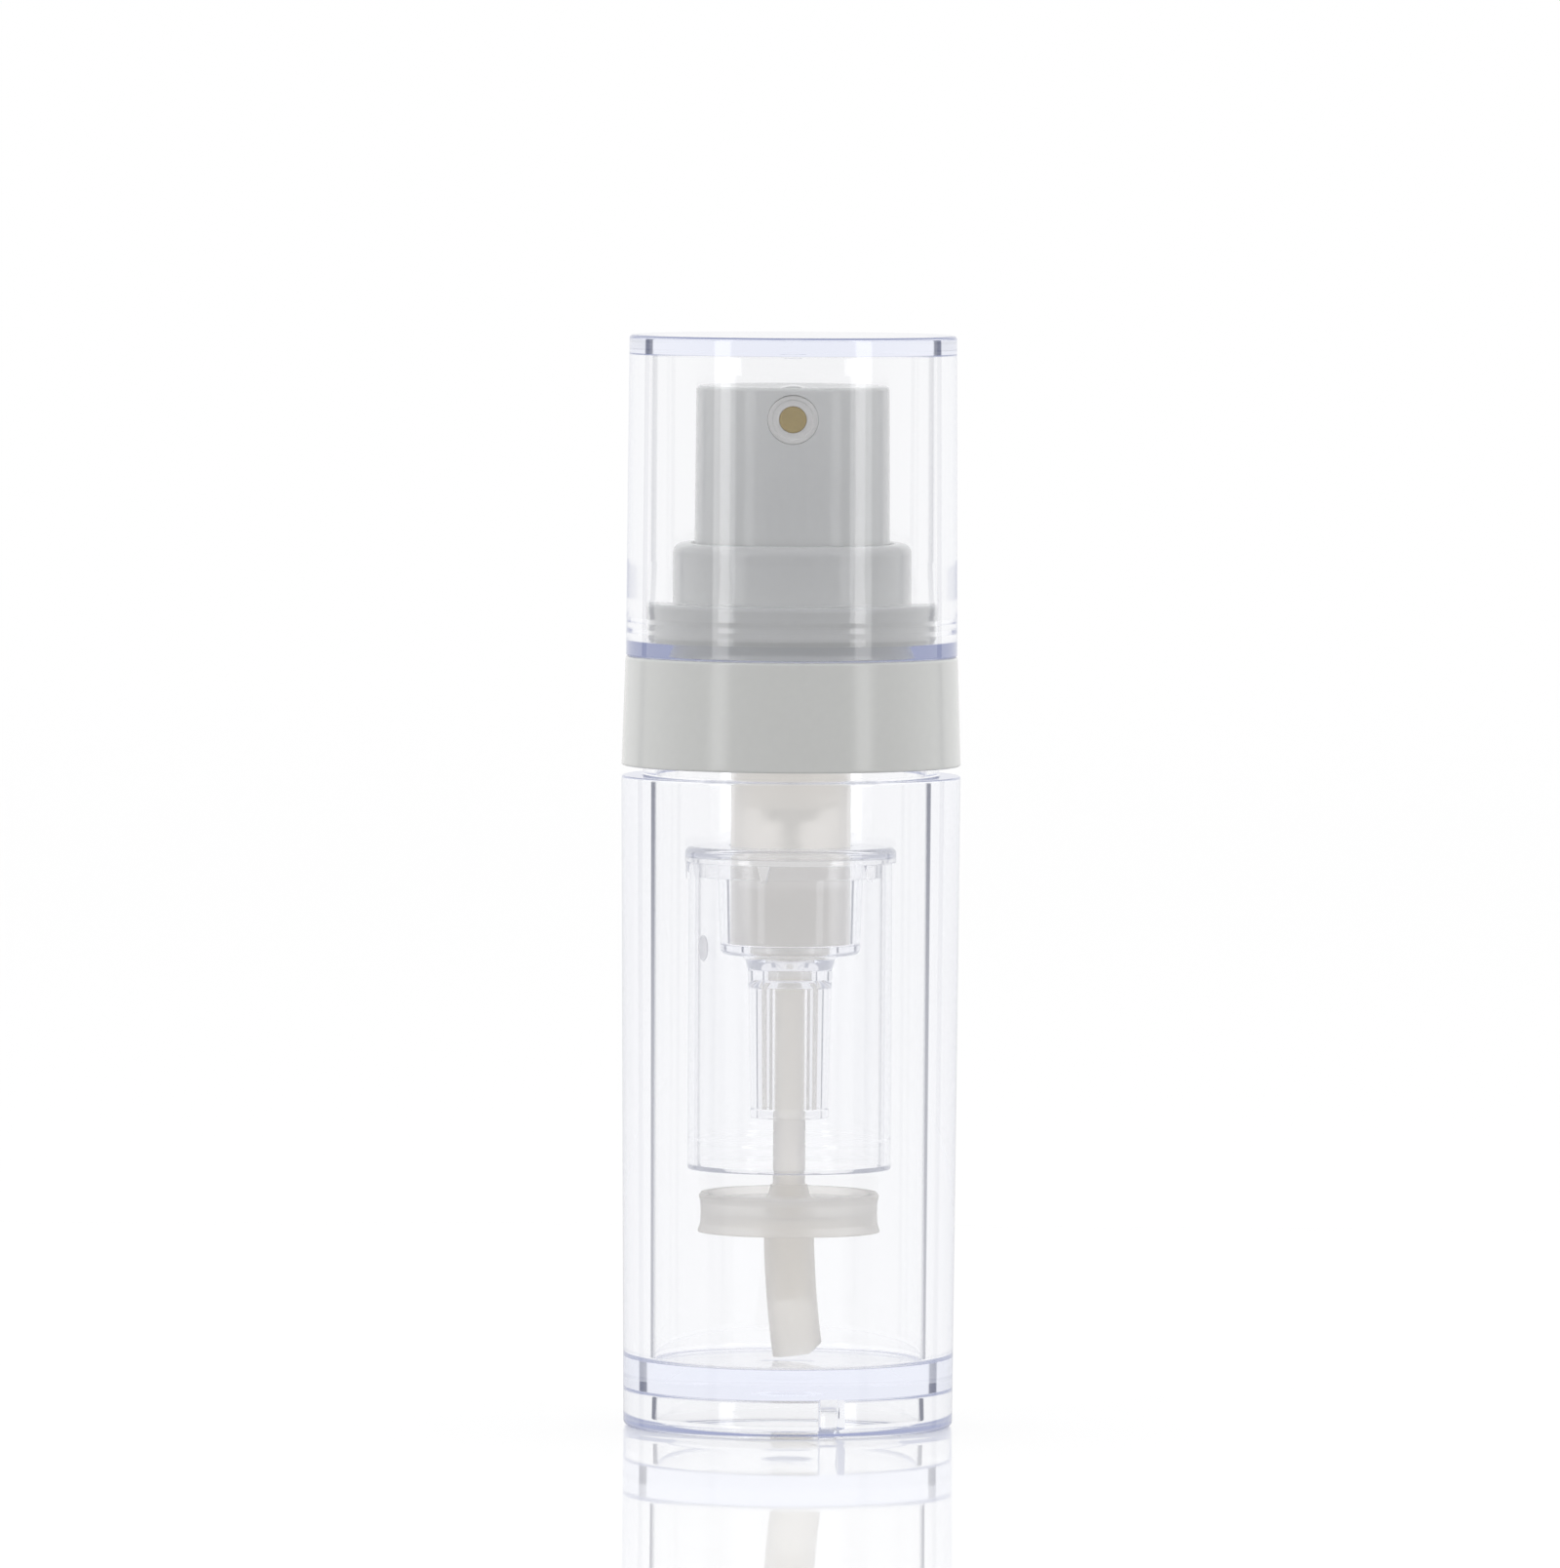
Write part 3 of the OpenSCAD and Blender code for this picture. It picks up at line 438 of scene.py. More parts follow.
FOOT_R = 16.9
SHOULDER_R = 17.4
BORE_R = 14.0
FLOOR_BORE_R = 13.9
NECK_R = 15.2
RECESS_R = 13.5
RECESS_TOP = 3.8
FLOOR_Z = 6.9
SHOULDER_Z = 66.8
NECK_TOP = 75.2
DIMPLE_R = 2.75
PITCH = 3.0
THREAD_TURNS = 1.5
NECK_THREAD_Z = 69.3
NECK_THREAD_DEPTH = 0.45
LUG_TURN = 17.8
LUG_LOW = 0.85
LUG_HALF_W = 1.0
LUG_INNER_W = 0.84  # its width at the inner end and at the foot ring, as shares
LUG_OUTER_W = 1.4
LUG_EDGE = 0.22

bottle = turned([
    (0, RECESS_TOP + 0.3), (1.6, RECESS_TOP + 0.24), (DIMPLE_R, RECESS_TOP),
    (RECESS_R, RECESS_TOP, 0.35), (RECESS_R + 0.15, 0, 1.2), (FOOT_R, 0, 0.5),
    (SHOULDER_R, SHOULDER_Z, 0.2), (NECK_R, SHOULDER_Z, 0.25), (NECK_R, NECK_TOP, 0.2),
    (BORE_R, NECK_TOP, 0.2), (FLOOR_BORE_R, FLOOR_Z, 0.5), (0, FLOOR_Z)])
lug = block((RECESS_R - 1.6, -LUG_HALF_W, LUG_LOW), (RECESS_R + 0.3, LUG_HALF_W, RECESS_TOP + 0.2))
for vert in lug.verts:
    vert.co.y *= LUG_INNER_W if vert.co.x < RECESS_R * MM else LUG_OUTER_W
bmesh.ops.bevel(lug, geom=lug.edges, offset=LUG_EDGE * MM, offset_type="OFFSET", segments=3,
                profile=0.5, affect="EDGES", material=-1)
bmesh.ops.rotate(lug, cent=(0, 0, 0), matrix=Matrix.Rotation(radians(LUG_TURN - 90), 3, "Z"),
                 verts=lug.verts)
bottle = combine(bottle, lug, "UNION")
neck_thread = thread(NECK_R, NECK_THREAD_DEPTH, NECK_THREAD_Z, PITCH, THREAD_TURNS, True)
bottle = combine(bottle, neck_thread, "UNION")
piece("outer_bottle_clear", bottle, bottle_clear, "clear_plastic", "bottle", "outer_bottle")


# Screw collar

SKIRT_LOW = 67.85
SKIRT_R = 17.4
SKIRT_TOP_R = 17.05
SKIRT_BORE_R = 15.9
ROOF_LOW = 77.25
ROOF_TOP = 79.05
SNAP_TOP = 84.55
COLLAR_TOP = 90.65
BEAD_Z = 82.45
WAIST_R = 14.1
SNAP_LOW_R = 14.85
SNAP_R = 14.95
SNAP_BORE_R = 11.9
GUIDE_R = 12.25
GUIDE_RING_BORE_R = 10.85
LIP_BORE_R = 10.45
COLLAR_THREAD_Z = 70.8
COLLAR_THREAD_DEPTH = 0.3

collar = turned([
    (SKIRT_BORE_R, SKIRT_LOW, 0.2), (SKIRT_R, SKIRT_LOW, 0.2), (SKIRT_TOP_R, ROOF_TOP, 0.3),
    (WAIST_R, ROOF_TOP, 0.2), (WAIST_R, BEAD_Z - 2.3, 0.4), (SNAP_LOW_R, BEAD_Z - 1.4, 0.4),
    (SNAP_LOW_R, BEAD_Z - 0.5, 0.4), (14.72, BEAD_Z, 0.4), (SNAP_R, BEAD_Z + 0.5, 0.4),
    (SNAP_R, SNAP_TOP, 0.5), (GUIDE_R, SNAP_TOP, 0.25), (GUIDE_R, COLLAR_TOP, 1.0),
    (LIP_BORE_R, COLLAR_TOP, 0.25), (LIP_BORE_R, COLLAR_TOP - 1.2, 0.1),
    (GUIDE_RING_BORE_R, COLLAR_TOP - 1.6), (GUIDE_RING_BORE_R, SNAP_TOP - 1.4, 0.3),
    (SNAP_BORE_R, SNAP_TOP - 1.4, 0.2), (SNAP_BORE_R, ROOF_LOW, 0.1),
    (SKIRT_BORE_R, ROOF_LOW, 0.3)], closed=True)
collar_thread = thread(
    SKIRT_BORE_R, COLLAR_THREAD_DEPTH, COLLAR_THREAD_Z, PITCH, THREAD_TURNS, False)
collar = combine(collar, collar_thread, "UNION")
piece("collar_white", collar, white, "white_plastic", "collar", "collar")


# Cap with the mark of its moulding gate under the roof

CAP_LOW = 79.1
CAP_TOP = 111.95
CAP_ROOF = 110.05
RIM_R = 17.0
CAP_TOP_R = 16.78
RIM_BORE_R = 15.02
CAP_BORE_R = 14.65
NARROWING_LOW = 84.9
NARROWING_TOP = 89.0
CAP_GATE_R = 0.9
CAP_GATE_DEPTH = 0.3

cap = turned([
    (0, CAP_ROOF - CAP_GATE_DEPTH), (CAP_GATE_R, CAP_ROOF - CAP_GATE_DEPTH, 0.1),
    (CAP_GATE_R, CAP_ROOF, 0.1), (CAP_BORE_R, CAP_ROOF, 0.15),
    (CAP_BORE_R, NARROWING_TOP, 2.0), (RIM_BORE_R, NARROWING_LOW, 2.0),
    (RIM_BORE_R, BEAD_Z + 1.05, 0.4), (RIM_BORE_R + 0.05, BEAD_Z + 0.55, 0.4),
    (RIM_BORE_R, BEAD_Z, 0.4), (RIM_BORE_R + 0.05, BEAD_Z - 0.55, 0.4),
    (RIM_BORE_R, BEAD_Z - 1.05, 0.4), (RIM_BORE_R, CAP_LOW + 1.5, 0.2),
    (RIM_BORE_R + 0.8, CAP_LOW, 0.1), (RIM_R, CAP_LOW, 0.15), (CAP_TOP_R, CAP_TOP, 0.4),
    (0, CAP_TOP)])
for face in cap.faces:
    middle = face.calc_center_median()
    if middle.xy.length < CAP_GATE_R * MM and middle.z < (CAP_ROOF - 0.2) * MM:
        face.material_index = 1
piece("overcap_clear", cap, cap_clear, "clear_plastic", "cap", "overcap", second=torn)


# Actuator with its nozzle

ACTUATOR_LOW = 87.95
ACTUATOR_TOP = 106.75
ACTUATOR_R = 10.05
ACTUATOR_TOP_R = 9.9
NOZZLE_Z = 103.5
NOZZLE_R = 2.5
NOZZLE_FACE = 9.75
NOZZLE_BACK = 7.55
CHANNEL_R = 0.9
POST_R = 3.4
POST_LOW = 91.0
POST_BORE_R = 2.13
POST_BORE_TOP = 101.3
ACTUATOR_BORE_R = 8.6
ACTUATOR_ROOF = 104.55

actuator = turned([
    (0, 105.85), (3.0, 105.95), (6.0, 106.25), (8.75, ACTUATOR_TOP, 0.5),
    (ACTUATOR_TOP_R, ACTUATOR_TOP, 0.45), (ACTUATOR_R, ACTUATOR_LOW, 0.15),
    (8.9, ACTUATOR_LOW, 0.15), (ACTUATOR_BORE_R, ACTUATOR_ROOF, 0.4),
    (POST_R, ACTUATOR_ROOF, 0.3), (POST_R, POST_LOW, 0.15), (POST_BORE_R, POST_LOW, 0.1),
    (POST_BORE_R, POST_BORE_TOP), (0, POST_BORE_TOP)])
boss = rod(POST_R, 2.5, 9.3, NOZZLE_Z)
actuator = combine(actuator, boss, "UNION")
well = rod(NOZZLE_R + 0.03, NOZZLE_BACK - 0.1, ACTUATOR_R + 0.95, NOZZLE_Z)
actuator = combine(actuator, well, "DIFFERENCE")
actuator = combine(actuator, rod(CHANNEL_R, 0, 8, NOZZLE_Z), "DIFFERENCE")
piece("actuator_white", actuator, white, "white_plastic", "button", "actuator")


def facing_front(bm, z):
    """A piece turned about Z laid over so that its +Z end looks along -Y at height z."""
    bmesh.ops.rotate(bm, cent=(0, 0, 0), matrix=Matrix.Rotation(radians(90), 3, "X"),
                     verts=bm.verts)
    bmesh.ops.translate(bm, vec=(0, 0, z * MM), verts=bm.verts)
    return bm


VALVE_R = 1.35
insert = facing_front(turned([
    (CHANNEL_R, NOZZLE_BACK), (NOZZLE_R, NOZZLE_BACK, 0.1), (NOZZLE_R, NOZZLE_FACE, 0.15),
    (NOZZLE_R - 0.45, NOZZLE_FACE, 0.08), (NOZZLE_R - 0.5, NOZZLE_FACE - 0.15, 0.08),
    (VALVE_R + 0.25, NOZZLE_FACE - 0.12, 0.05), (VALVE_R + 0.03, NOZZLE_FACE - 0.05, 0.05),
    (VALVE_R + 0.03, 8.9), (CHANNEL_R, 8.9)], closed=True, steps=FINE_STEPS), NOZZLE_Z)
piece("nozzle_insert_milky", insert, ring_plastic, "milky_plastic", "button", "nozzle_insert")

valve = facing_front(turned([
    (0, 8.95), (VALVE_R, 8.95, 0.05), (VALVE_R, 9.6, 0.15), (0.3, 9.52, 0.1), (0, 9.5)],
    steps=64), NOZZLE_Z)
piece("nozzle_valve_tan", valve, silicone, "tan_rubber", "button", "nozzle_valve")


# Pump housing

HOUSING_R = 6.15
HOUSING_BORE_R = 5.55
HOUSING_LOW = 55.6
SLEEVE_LOW = 49.65
FLANGE_LOW = 76.0
FLANGE_TOP = 77.2
FLANGE_R = 14.9
PLUG_R = 12.75
PLUG_LOW = FLANGE_LOW - 1.8
VENT_R = 0.4
CAGE_BORE_R = 2.98
CAGE_LOW = 49.4
FOOT_LOW = 48.6
VALVE_FOOT_R = 4.1
SPOUT_R = 2.25
SPOUT_LOW = 32.6
DIP_R = 1.65
DIP_BORE_R = 1.1
DIP_TOP = 46.2
DIP_LOW = 21.0

housing = turned([
    (HOUSING_R, FLANGE_LOW, 0.2), (PLUG_R, FLANGE_LOW, 0.1), (PLUG_R, PLUG_LOW, 0.1),
    (PLUG_R + 0.6, PLUG_LOW, 0.1), (PLUG_R + 1.0, PLUG_LOW + 0.4, 0.1),
    (PLUG_R + 1.0, FLANGE_LOW, 0.05), (FLANGE_R, FLANGE_LOW, 0.1), (FLANGE_R, FLANGE_TOP, 0.15),
    (HOUSING_BORE_R, FLANGE_TOP, 0.1), (HOUSING_BORE_R, HOUSING_LOW + 0.8, 0.3),
    (CAGE_BORE_R, HOUSING_LOW + 0.8, 0.1), (CAGE_BORE_R, CAGE_LOW, 0.1),
    (1.5, CAGE_LOW), (0.9, 48.8), (DIP_BORE_R, 48.5), (DIP_BORE_R, DIP_TOP + 0.05),
    (DIP_R + 0.03, DIP_TOP + 0.05), (DIP_R + 0.03, SPOUT_LOW), (SPOUT_R, SPOUT_LOW, 0.15),
    (SPOUT_R, FOOT_LOW - 1.4, 0.4), (VALVE_FOOT_R, FOOT_LOW, 0.3),
    (VALVE_FOOT_R, HOUSING_LOW, 0.2), (HOUSING_BORE_R, HOUSING_LOW, 0.2),
    (HOUSING_BORE_R, SLEEVE_LOW, 0.08), (HOUSING_R, SLEEVE_LOW, 0.25)], closed=True)
vent = rod(VENT_R, 0, 12, FLANGE_LOW - 2.4, 32)
housing = combine(housing, vent, "DIFFERENCE")
piece("pump_housing_milky", housing, milky, "milky_plastic", "pump", "pump_housing")


# Holder of the inner chamber: lid with teeth, socket and guide tube

LID_TOP = 59.7
LID_LOW = 58.7
LID_R = 10.85
RIM_LOW = 58.1
CHAMBER_R = 10.45
CHAMBER_BORE_R = 9.45
SOCKET_BORE_R = 6.2
SOCKET_R = 7.55
GUIDE_LOW = 31.8
GUIDE_BORE_R = 3.2
GUIDE_TUBE_R = 4.05
GUIDE_ROOF = 45.2
THROAT_R = 2.3
LID_RIM_BORE_R = 10.5
RING_BORE_R = 8.7
RING_R = 9.4
RING_LOW = 56.6
TEETH = 6
TOOTH_TURN = -14
TOOTH_L = 1.7
TOOTH_HALF_W = 0.7
TOOTH_TIP_W = 0.3  # the width of its tip, as a share
RIBS = 4
RIB_HALF_W = 0.3

holder = turned([
    (SOCKET_BORE_R, LID_TOP, 0.3), (SOCKET_BORE_R, 49.6, 0.2), (4.15, 49.6), (4.15, 48.55, 0.2),
    (THROAT_R, 47.15, 0.2), (THROAT_R, GUIDE_ROOF + 0.8), (GUIDE_BORE_R, GUIDE_ROOF, 0.2),
    (GUIDE_BORE_R, GUIDE_LOW, 0.1), (GUIDE_TUBE_R, GUIDE_LOW, 0.15),
    (GUIDE_TUBE_R, GUIDE_LOW + 0.9, 0.1),
    (3.98, GUIDE_LOW + 1.0), (4.35, 47.0), (4.6, 48.0, 0.5), (5.15, FOOT_LOW, 0.2),
    (7.15, FOOT_LOW, 0.6), (SOCKET_R, LID_LOW, 0.2), (RING_BORE_R, LID_LOW, 0.1),
    (RING_BORE_R, RING_LOW, 0.1), (RING_R, RING_LOW, 0.15), (RING_R, LID_LOW, 0.1),
    (LID_RIM_BORE_R, LID_LOW, 0.1), (LID_RIM_BORE_R, RIM_LOW, 0.06),
    (LID_R, RIM_LOW, 0.08), (LID_R, LID_TOP, 0.7)], closed=True)

teeth = []
for i in range(TEETH):
    tooth = block((10, -TOOTH_HALF_W, RIM_LOW - TOOTH_L), (11.5, TOOTH_HALF_W, RIM_LOW + 0.3))
    for vert in tooth.verts:
        if vert.co.z < (RIM_LOW - 0.1) * MM:
            vert.co.y *= TOOTH_TIP_W
    turn = Matrix.Rotation(radians(TOOTH_TURN - 90 + 360 * i / TEETH), 3, "Z")
    bmesh.ops.rotate(tooth, cent=(0, 0, 0), matrix=turn, verts=tooth.verts)
    teeth.append(tooth)
# The teeth's band keeps off both faces of the rim, because shared faces spoil the union
band = turned([
    (LID_RIM_BORE_R + 0.03, 56.0), (LID_R - 0.01, 56.0), (LID_R - 0.01, RIM_LOW + 0.3),
    (LID_RIM_BORE_R + 0.03, RIM_LOW + 0.3)], closed=True)
holder = combine(holder, combine(band, gather(teeth), "INTERSECT"), "UNION")

ribs = []
for i in range(RIBS):
    turn = Matrix.Rotation(radians(45 + 360 * i / RIBS), 4, "Z")
    ribs.append(block((THROAT_R, -RIB_HALF_W, SPOUT_LOW + 0.05),
                      (GUIDE_BORE_R + 0.3, RIB_HALF_W, GUIDE_ROOF + 0.6), turn))
holder = combine(holder, gather(ribs), "UNION")
piece("chamber_holder_clear", holder, thin_clear, "clear_plastic", "pump", "chamber_holder")


# Inner chamber with the oval mark of its moulding gate

CHAMBER_LOW = 26.6
CHAMBER_TOP = 58.65
PARK_Z = 29.525
GATE_TURN = -54
GATE_Z = 49.5
GATE_R = 0.75
GATE_STRETCH = 1.75

chamber = turned([
    (CHAMBER_BORE_R, CHAMBER_LOW + 0.45, 0.1), (CHAMBER_BORE_R + 0.3, CHAMBER_LOW, 0.05),
    (CHAMBER_R, CHAMBER_LOW, 0.15), (CHAMBER_R, CHAMBER_TOP, 0.1),
    (CHAMBER_BORE_R, CHAMBER_TOP, 0.1), (CHAMBER_BORE_R, PARK_Z + 0.25),
    (CHAMBER_BORE_R - 0.04, PARK_Z), (CHAMBER_BORE_R, PARK_Z - 0.25)], closed=True)
gate = rod(GATE_R, CHAMBER_R - 0.4, CHAMBER_R + 0.1, 0, 48)
bmesh.ops.scale(gate, vec=(1, 1, GATE_STRETCH), verts=gate.verts)
bmesh.ops.translate(gate, vec=(0, 0, GATE_Z * MM), verts=gate.verts)
bmesh.ops.rotate(gate, cent=(0, 0, 0), matrix=Matrix.Rotation(radians(GATE_TURN), 3, "Z"),
                 verts=gate.verts)
chamber = combine(chamber, gate, "UNION")
for face in chamber.faces:
    if face.calc_center_median().xy.length > (CHAMBER_R + 0.03) * MM:
        face.material_index = 1
piece("inner_chamber_clear", chamber, thin_clear, "clear_plastic", "pump", "inner_chamber",
      second=torn)


# Dip tubes and release piston

RELEASE_Z = 20.1
RELEASE_TOP = 24.15
WEB_LOW = 21.9
WEB_TOP = 23.4
LOWER_R = 2.575
LOWER_BORE_R = 2.2
BEND_R = 105.0
BEND_START = 21.85
TUBE_LOW = 7.0
LOWER_TURN = radians(7.854)
SPIGOT_R = 2.17
SPIGOT_TURN = radians(4.671)
PISTON_BORE_R = 1.7

upper_tube = turned([
    (DIP_BORE_R, DIP_LOW, 0.05), (DIP_R, DIP_LOW, 0.08), (DIP_R, DIP_TOP, 0.08),
    (DIP_BORE_R, DIP_TOP, 0.05)], closed=True, steps=FINE_STEPS)
piece("upper_dip_tube_milky", upper_tube, tube_plastic, "milky_plastic", "pump", "upper_dip_tube")


def bent_bar(radius, rise, turn, steps=32):
    """A round bar that starts a rise above the bend's start and follows the bend by a turn."""
    bm = bmesh.new()
    bmesh.ops.create_circle(bm, cap_ends=True, radius=radius * MM, segments=FINE_STEPS)
    bmesh.ops.translate(bm, vec=Vector((0, 0, BEND_START)) * MM, verts=bm.verts)
    centre = Vector((BEND_R, 0, BEND_START)) * MM
    bmesh.ops.rotate(bm, cent=centre, matrix=Matrix.Rotation(rise / BEND_R, 3, "Y"),
                     verts=bm.verts)
    bmesh.ops.spin(bm, geom=bm.faces[:] + bm.edges[:] + bm.verts[:], cent=centre,
                   axis=(0, -1, 0), angle=turn + rise / BEND_R, steps=steps)
    bmesh.ops.holes_fill(bm, edges=[e for e in bm.edges if e.is_boundary])
    bmesh.ops.remove_doubles(bm, verts=bm.verts, dist=WELD)
    bmesh.ops.recalc_face_normals(bm, faces=bm.faces)
    return bm


lower_tube = combine(bent_bar(LOWER_R, 0, LOWER_TURN),
                     bent_bar(LOWER_BORE_R, 1, LOWER_TURN + 0.01), "DIFFERENCE")
foot_x = BEND_R * (1 - cos(LOWER_TURN))
slant = (Matrix.Translation(Vector((foot_x + 1.03, 0, TUBE_LOW)) * MM)
         @ Matrix.Rotation(radians(-40), 4, "Y"))
lower_tube = combine(lower_tube, block((0, -4, -2.2), (5.2, 4, 0.4), slant), "DIFFERENCE")
piece("lower_dip_tube_milky", lower_tube, soft_milky, "milky_plastic", "release", "lower_dip_tube")

LIP_TOP_R = 9.27
LIP_LOW_R = 9.38
release = turned([
    (0, WEB_LOW), (8.28, WEB_LOW, 0.3), (LIP_LOW_R - 0.35, RELEASE_Z, 0.1),
    (LIP_LOW_R, RELEASE_Z, 0.08), (LIP_LOW_R - 0.05, RELEASE_Z + 0.2), (9.1, RELEASE_Z + 0.9, 0.5),
    (9.05, 22.1), (9.1, RELEASE_TOP - 1.0, 0.6), (LIP_TOP_R, RELEASE_TOP - 0.35, 0.15),
    (LIP_TOP_R - 0.25, RELEASE_TOP, 0.1), (8.37, RELEASE_TOP - 0.1, 0.2), (7.77, WEB_TOP, 0.3),
    (2.6, WEB_TOP - 0.1, 0.2), (2.15, WEB_TOP + 0.45, 0.2), (1.9, RELEASE_TOP + 0.75, 0.05),
    (0, RELEASE_TOP + 0.75)])
release = combine(release, bent_bar(SPIGOT_R, 0.4, SPIGOT_TURN), "UNION")
# One tool bores the piston, straight above the bend, because tools that share a face spoil
# the cut
bore = bent_bar(PISTON_BORE_R, 0, radians(6))
for vert in bore.verts:
    if vert.co.z > (BEND_START - 0.01) * MM:
        vert.co.z += 6 * MM
release = combine(release, bore, "DIFFERENCE")
slots = gather([block((2.65, -0.3, WEB_TOP - 0.6), (3.45, 0.3, WEB_TOP + 0.6),
                      Matrix.Rotation(radians(turn), 4, "Z")) for turn in (0, 180)])
release = combine(release, slots, "DIFFERENCE")
piece("release_piston_milky", release, soft_milky, "milky_plastic", "release", "release_piston")


# Return spring

SPRING_LOW = 78.4
SPRING_HIGH = 89.9
SPRING_R = 3.05
WIRE_R = 0.35
SPRING_TURNS = 7

wire = bmesh.new()
bmesh.ops.create_circle(wire, cap_ends=True, radius=WIRE_R * MM, segments=12)
bmesh.ops.rotate(wire, cent=(0, 0, 0), matrix=Matrix.Rotation(radians(90), 3, "X"),
                 verts=wire.verts)
bmesh.ops.translate(wire, vec=Vector((SPRING_R, 0, SPRING_LOW + WIRE_R)) * MM, verts=wire.verts)
wire_steps = 48 * SPRING_TURNS
rise = (SPRING_HIGH - SPRING_LOW - 2 * WIRE_R) * MM
bmesh.ops.spin(wire, geom=wire.faces[:] + wire.edges[:] + wire.verts[:], cent=(0, 0, 0),
               axis=(0, 0, 1), dvec=(0, 0, rise / wire_steps),
               angle=FULL_TURN * SPRING_TURNS, steps=wire_steps)
bmesh.ops.holes_fill(wire, edges=[e for e in wire.edges if e.is_boundary])
spring = piece("return_spring_wire", wire, wire_steel, "spring_steel", "pump", "return_spring")
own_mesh(spring)


# CAD nodes whose shape is right, in their real materials

for node_name, material in {
    "neck_gasket": foam, "stem": white, "plunger": white, "pump_piston": milky,
    "chaplet": white, "valve_cage": white, "inlet_ball": ball_steel,
}.items():
    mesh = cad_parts[node_name].data
    mesh.materials.clear()
    mesh.materials.append(material)


# Floor: white acrylic, which mirrors the bottle and fades into the white behind it

def white_acrylic(name):
    """Polished white acrylic sheet: it mirrors what stands on it and, looked at straight, glows
    as white as the room, up to where it fades out."""
    material = bpy.data.materials.new(name)
    tree = empty_tree(material)
    place = add(tree, "ShaderNodeTexCoord", {}, {})
    noise = add(tree, "ShaderNodeTexNoise", {}, {
        "Vector": place.outputs["Object"], "Scale": 8.0, "Detail": 3.0})
    acrylic = add(tree, "ShaderNodeBsdfPrincipled", {}, {
        "Base Color": linear("#C8C8C8"),
        "Roughness": spread(tree, noise.outputs["Fac"], 0.01, 0.03),
        "IOR": 1.49})
    rays = add(tree, "ShaderNodeLightPath", {}, {})
    seen = add(tree, "ShaderNodeMath", {"operation": "MAXIMUM"}, {})
    tree.links.new(rays.outputs["Is Camera Ray"], seen.inputs[0])
    tree.links.new(rays.outputs["Is Transmission Ray"], seen.inputs[1])
    straight = add(tree, "ShaderNodeMath", {"operation": "LESS_THAN"}, {})
    tree.links.new(rays.outputs["Diffuse Depth"], straight.inputs[0])
    straight.inputs[1].default_value = 0.5
    shown = add(tree, "ShaderNodeMath", {"operation": "MULTIPLY"}, {})
    tree.links.new(seen.outputs[0], shown.inputs[0])
    tree.links.new(straight.outputs[0], shown.inputs[1])
    mirroring = add(tree, "ShaderNodeFresnel", {}, {"IOR": 1.49})
    strength = add(tree, "ShaderNodeMapRange", {}, {
        "Value": mirroring.outputs["Fac"], "To Min": 0.55, "To Max": 0.0})
    share = add(tree, "ShaderNodeMath", {"operation": "MULTIPLY"}, {})
    tree.links.new(shown.outputs[0], share.inputs[0])
    tree.links.new(strength.outputs["Result"], share.inputs[1])
    glow = add(tree, "ShaderNodeEmission", {}, {
        "Color": (1, 1, 1, 1), "Strength": share.outputs[0]})
    lit = add(tree, "ShaderNodeAddShader", {}, {})
    tree.links.new(acrylic.outputs["BSDF"], lit.inputs[0])
    tree.links.new(glow.outputs["Emission"], lit.inputs[1])
    away = add(tree, "ShaderNodeVectorMath", {"operation": "LENGTH"}, {
        "Vector": place.outputs["Object"]})
    fade = add(tree, "ShaderNodeMapRange", {"interpolation_type": "SMOOTHSTEP"}, {
        "Value": away.outputs["Value"], "From Min": 0.5, "From Max": 1.8,
        "To Min": 0.0, "To Max": 1.0})
    gone = add(tree, "ShaderNodeBsdfTransparent", {}, {})
    faded = add(tree, "ShaderNodeMixShader", {}, {"Fac": fade.outputs["Result"]})
    tree.links.new(lit.outputs["Shader"], faded.inputs[1])
    tree.links.new(gone.outputs["BSDF"], faded.inputs[2])
    add(tree, "ShaderNodeOutputMaterial", {}, {"Surface": faded.outputs["Shader"]})
    return material


floor = bmesh.new()
bmesh.ops.create_circle(floor, cap_ends=True, radius=2.0, segments=128)
floor_mesh = bpy.data.meshes.new("floor")
floor.to_mesh(floor_mesh)
floor.free()
floor_object = bpy.data.objects.new("floor", floor_mesh)
floor_object.location = (0, 0, -0.05 * MM)
scene.collection.objects.link(floor_object)

floor_mesh.materials.append(white_acrylic("white acrylic sheet"))


# World: white where it is looked at, with two narrow dark gaps beside the white behind the
# bottle, which draw its edges. Mirrored, the room in front is darker. Everything else gets
# plain light, softer from the front than from behind.

world = bpy.data.worlds.new("studio")
scene.world = world
tree = empty_tree(world)
place = add(tree, "ShaderNodeTexCoord", {}, {})
axes = add(tree, "ShaderNodeSeparateXYZ", {}, {"Vector": place.outputs["Generated"]})


def calculate(operation, *values):
    """A Math node on the world's tree."""
    node = add(tree, "ShaderNodeMath", {"operation": operation}, {})
    for socket, value in zip(node.inputs, values):
        if isinstance(value, bpy.types.NodeSocket):
            tree.links.new(value, socket)
        else:
            socket.default_value = value
    return node.outputs[0]


def tones(value, *stops):
    """A ramp of tones at positions of a value, each a grey or a colour."""
    node = add(tree, "ShaderNodeValToRGB", {}, {"Fac": value})
    elements = node.color_ramp.elements
    elements[0].position, elements[1].position = stops[0][0], stops[-1][0]
    for position, tone in stops[1:-1]:
        elements.new(position)
    for element, (position, tone) in zip(elements, stops):
        element.color = tone if isinstance(tone, tuple) else (tone, tone, tone, 1)
    return node.outputs["Color"]


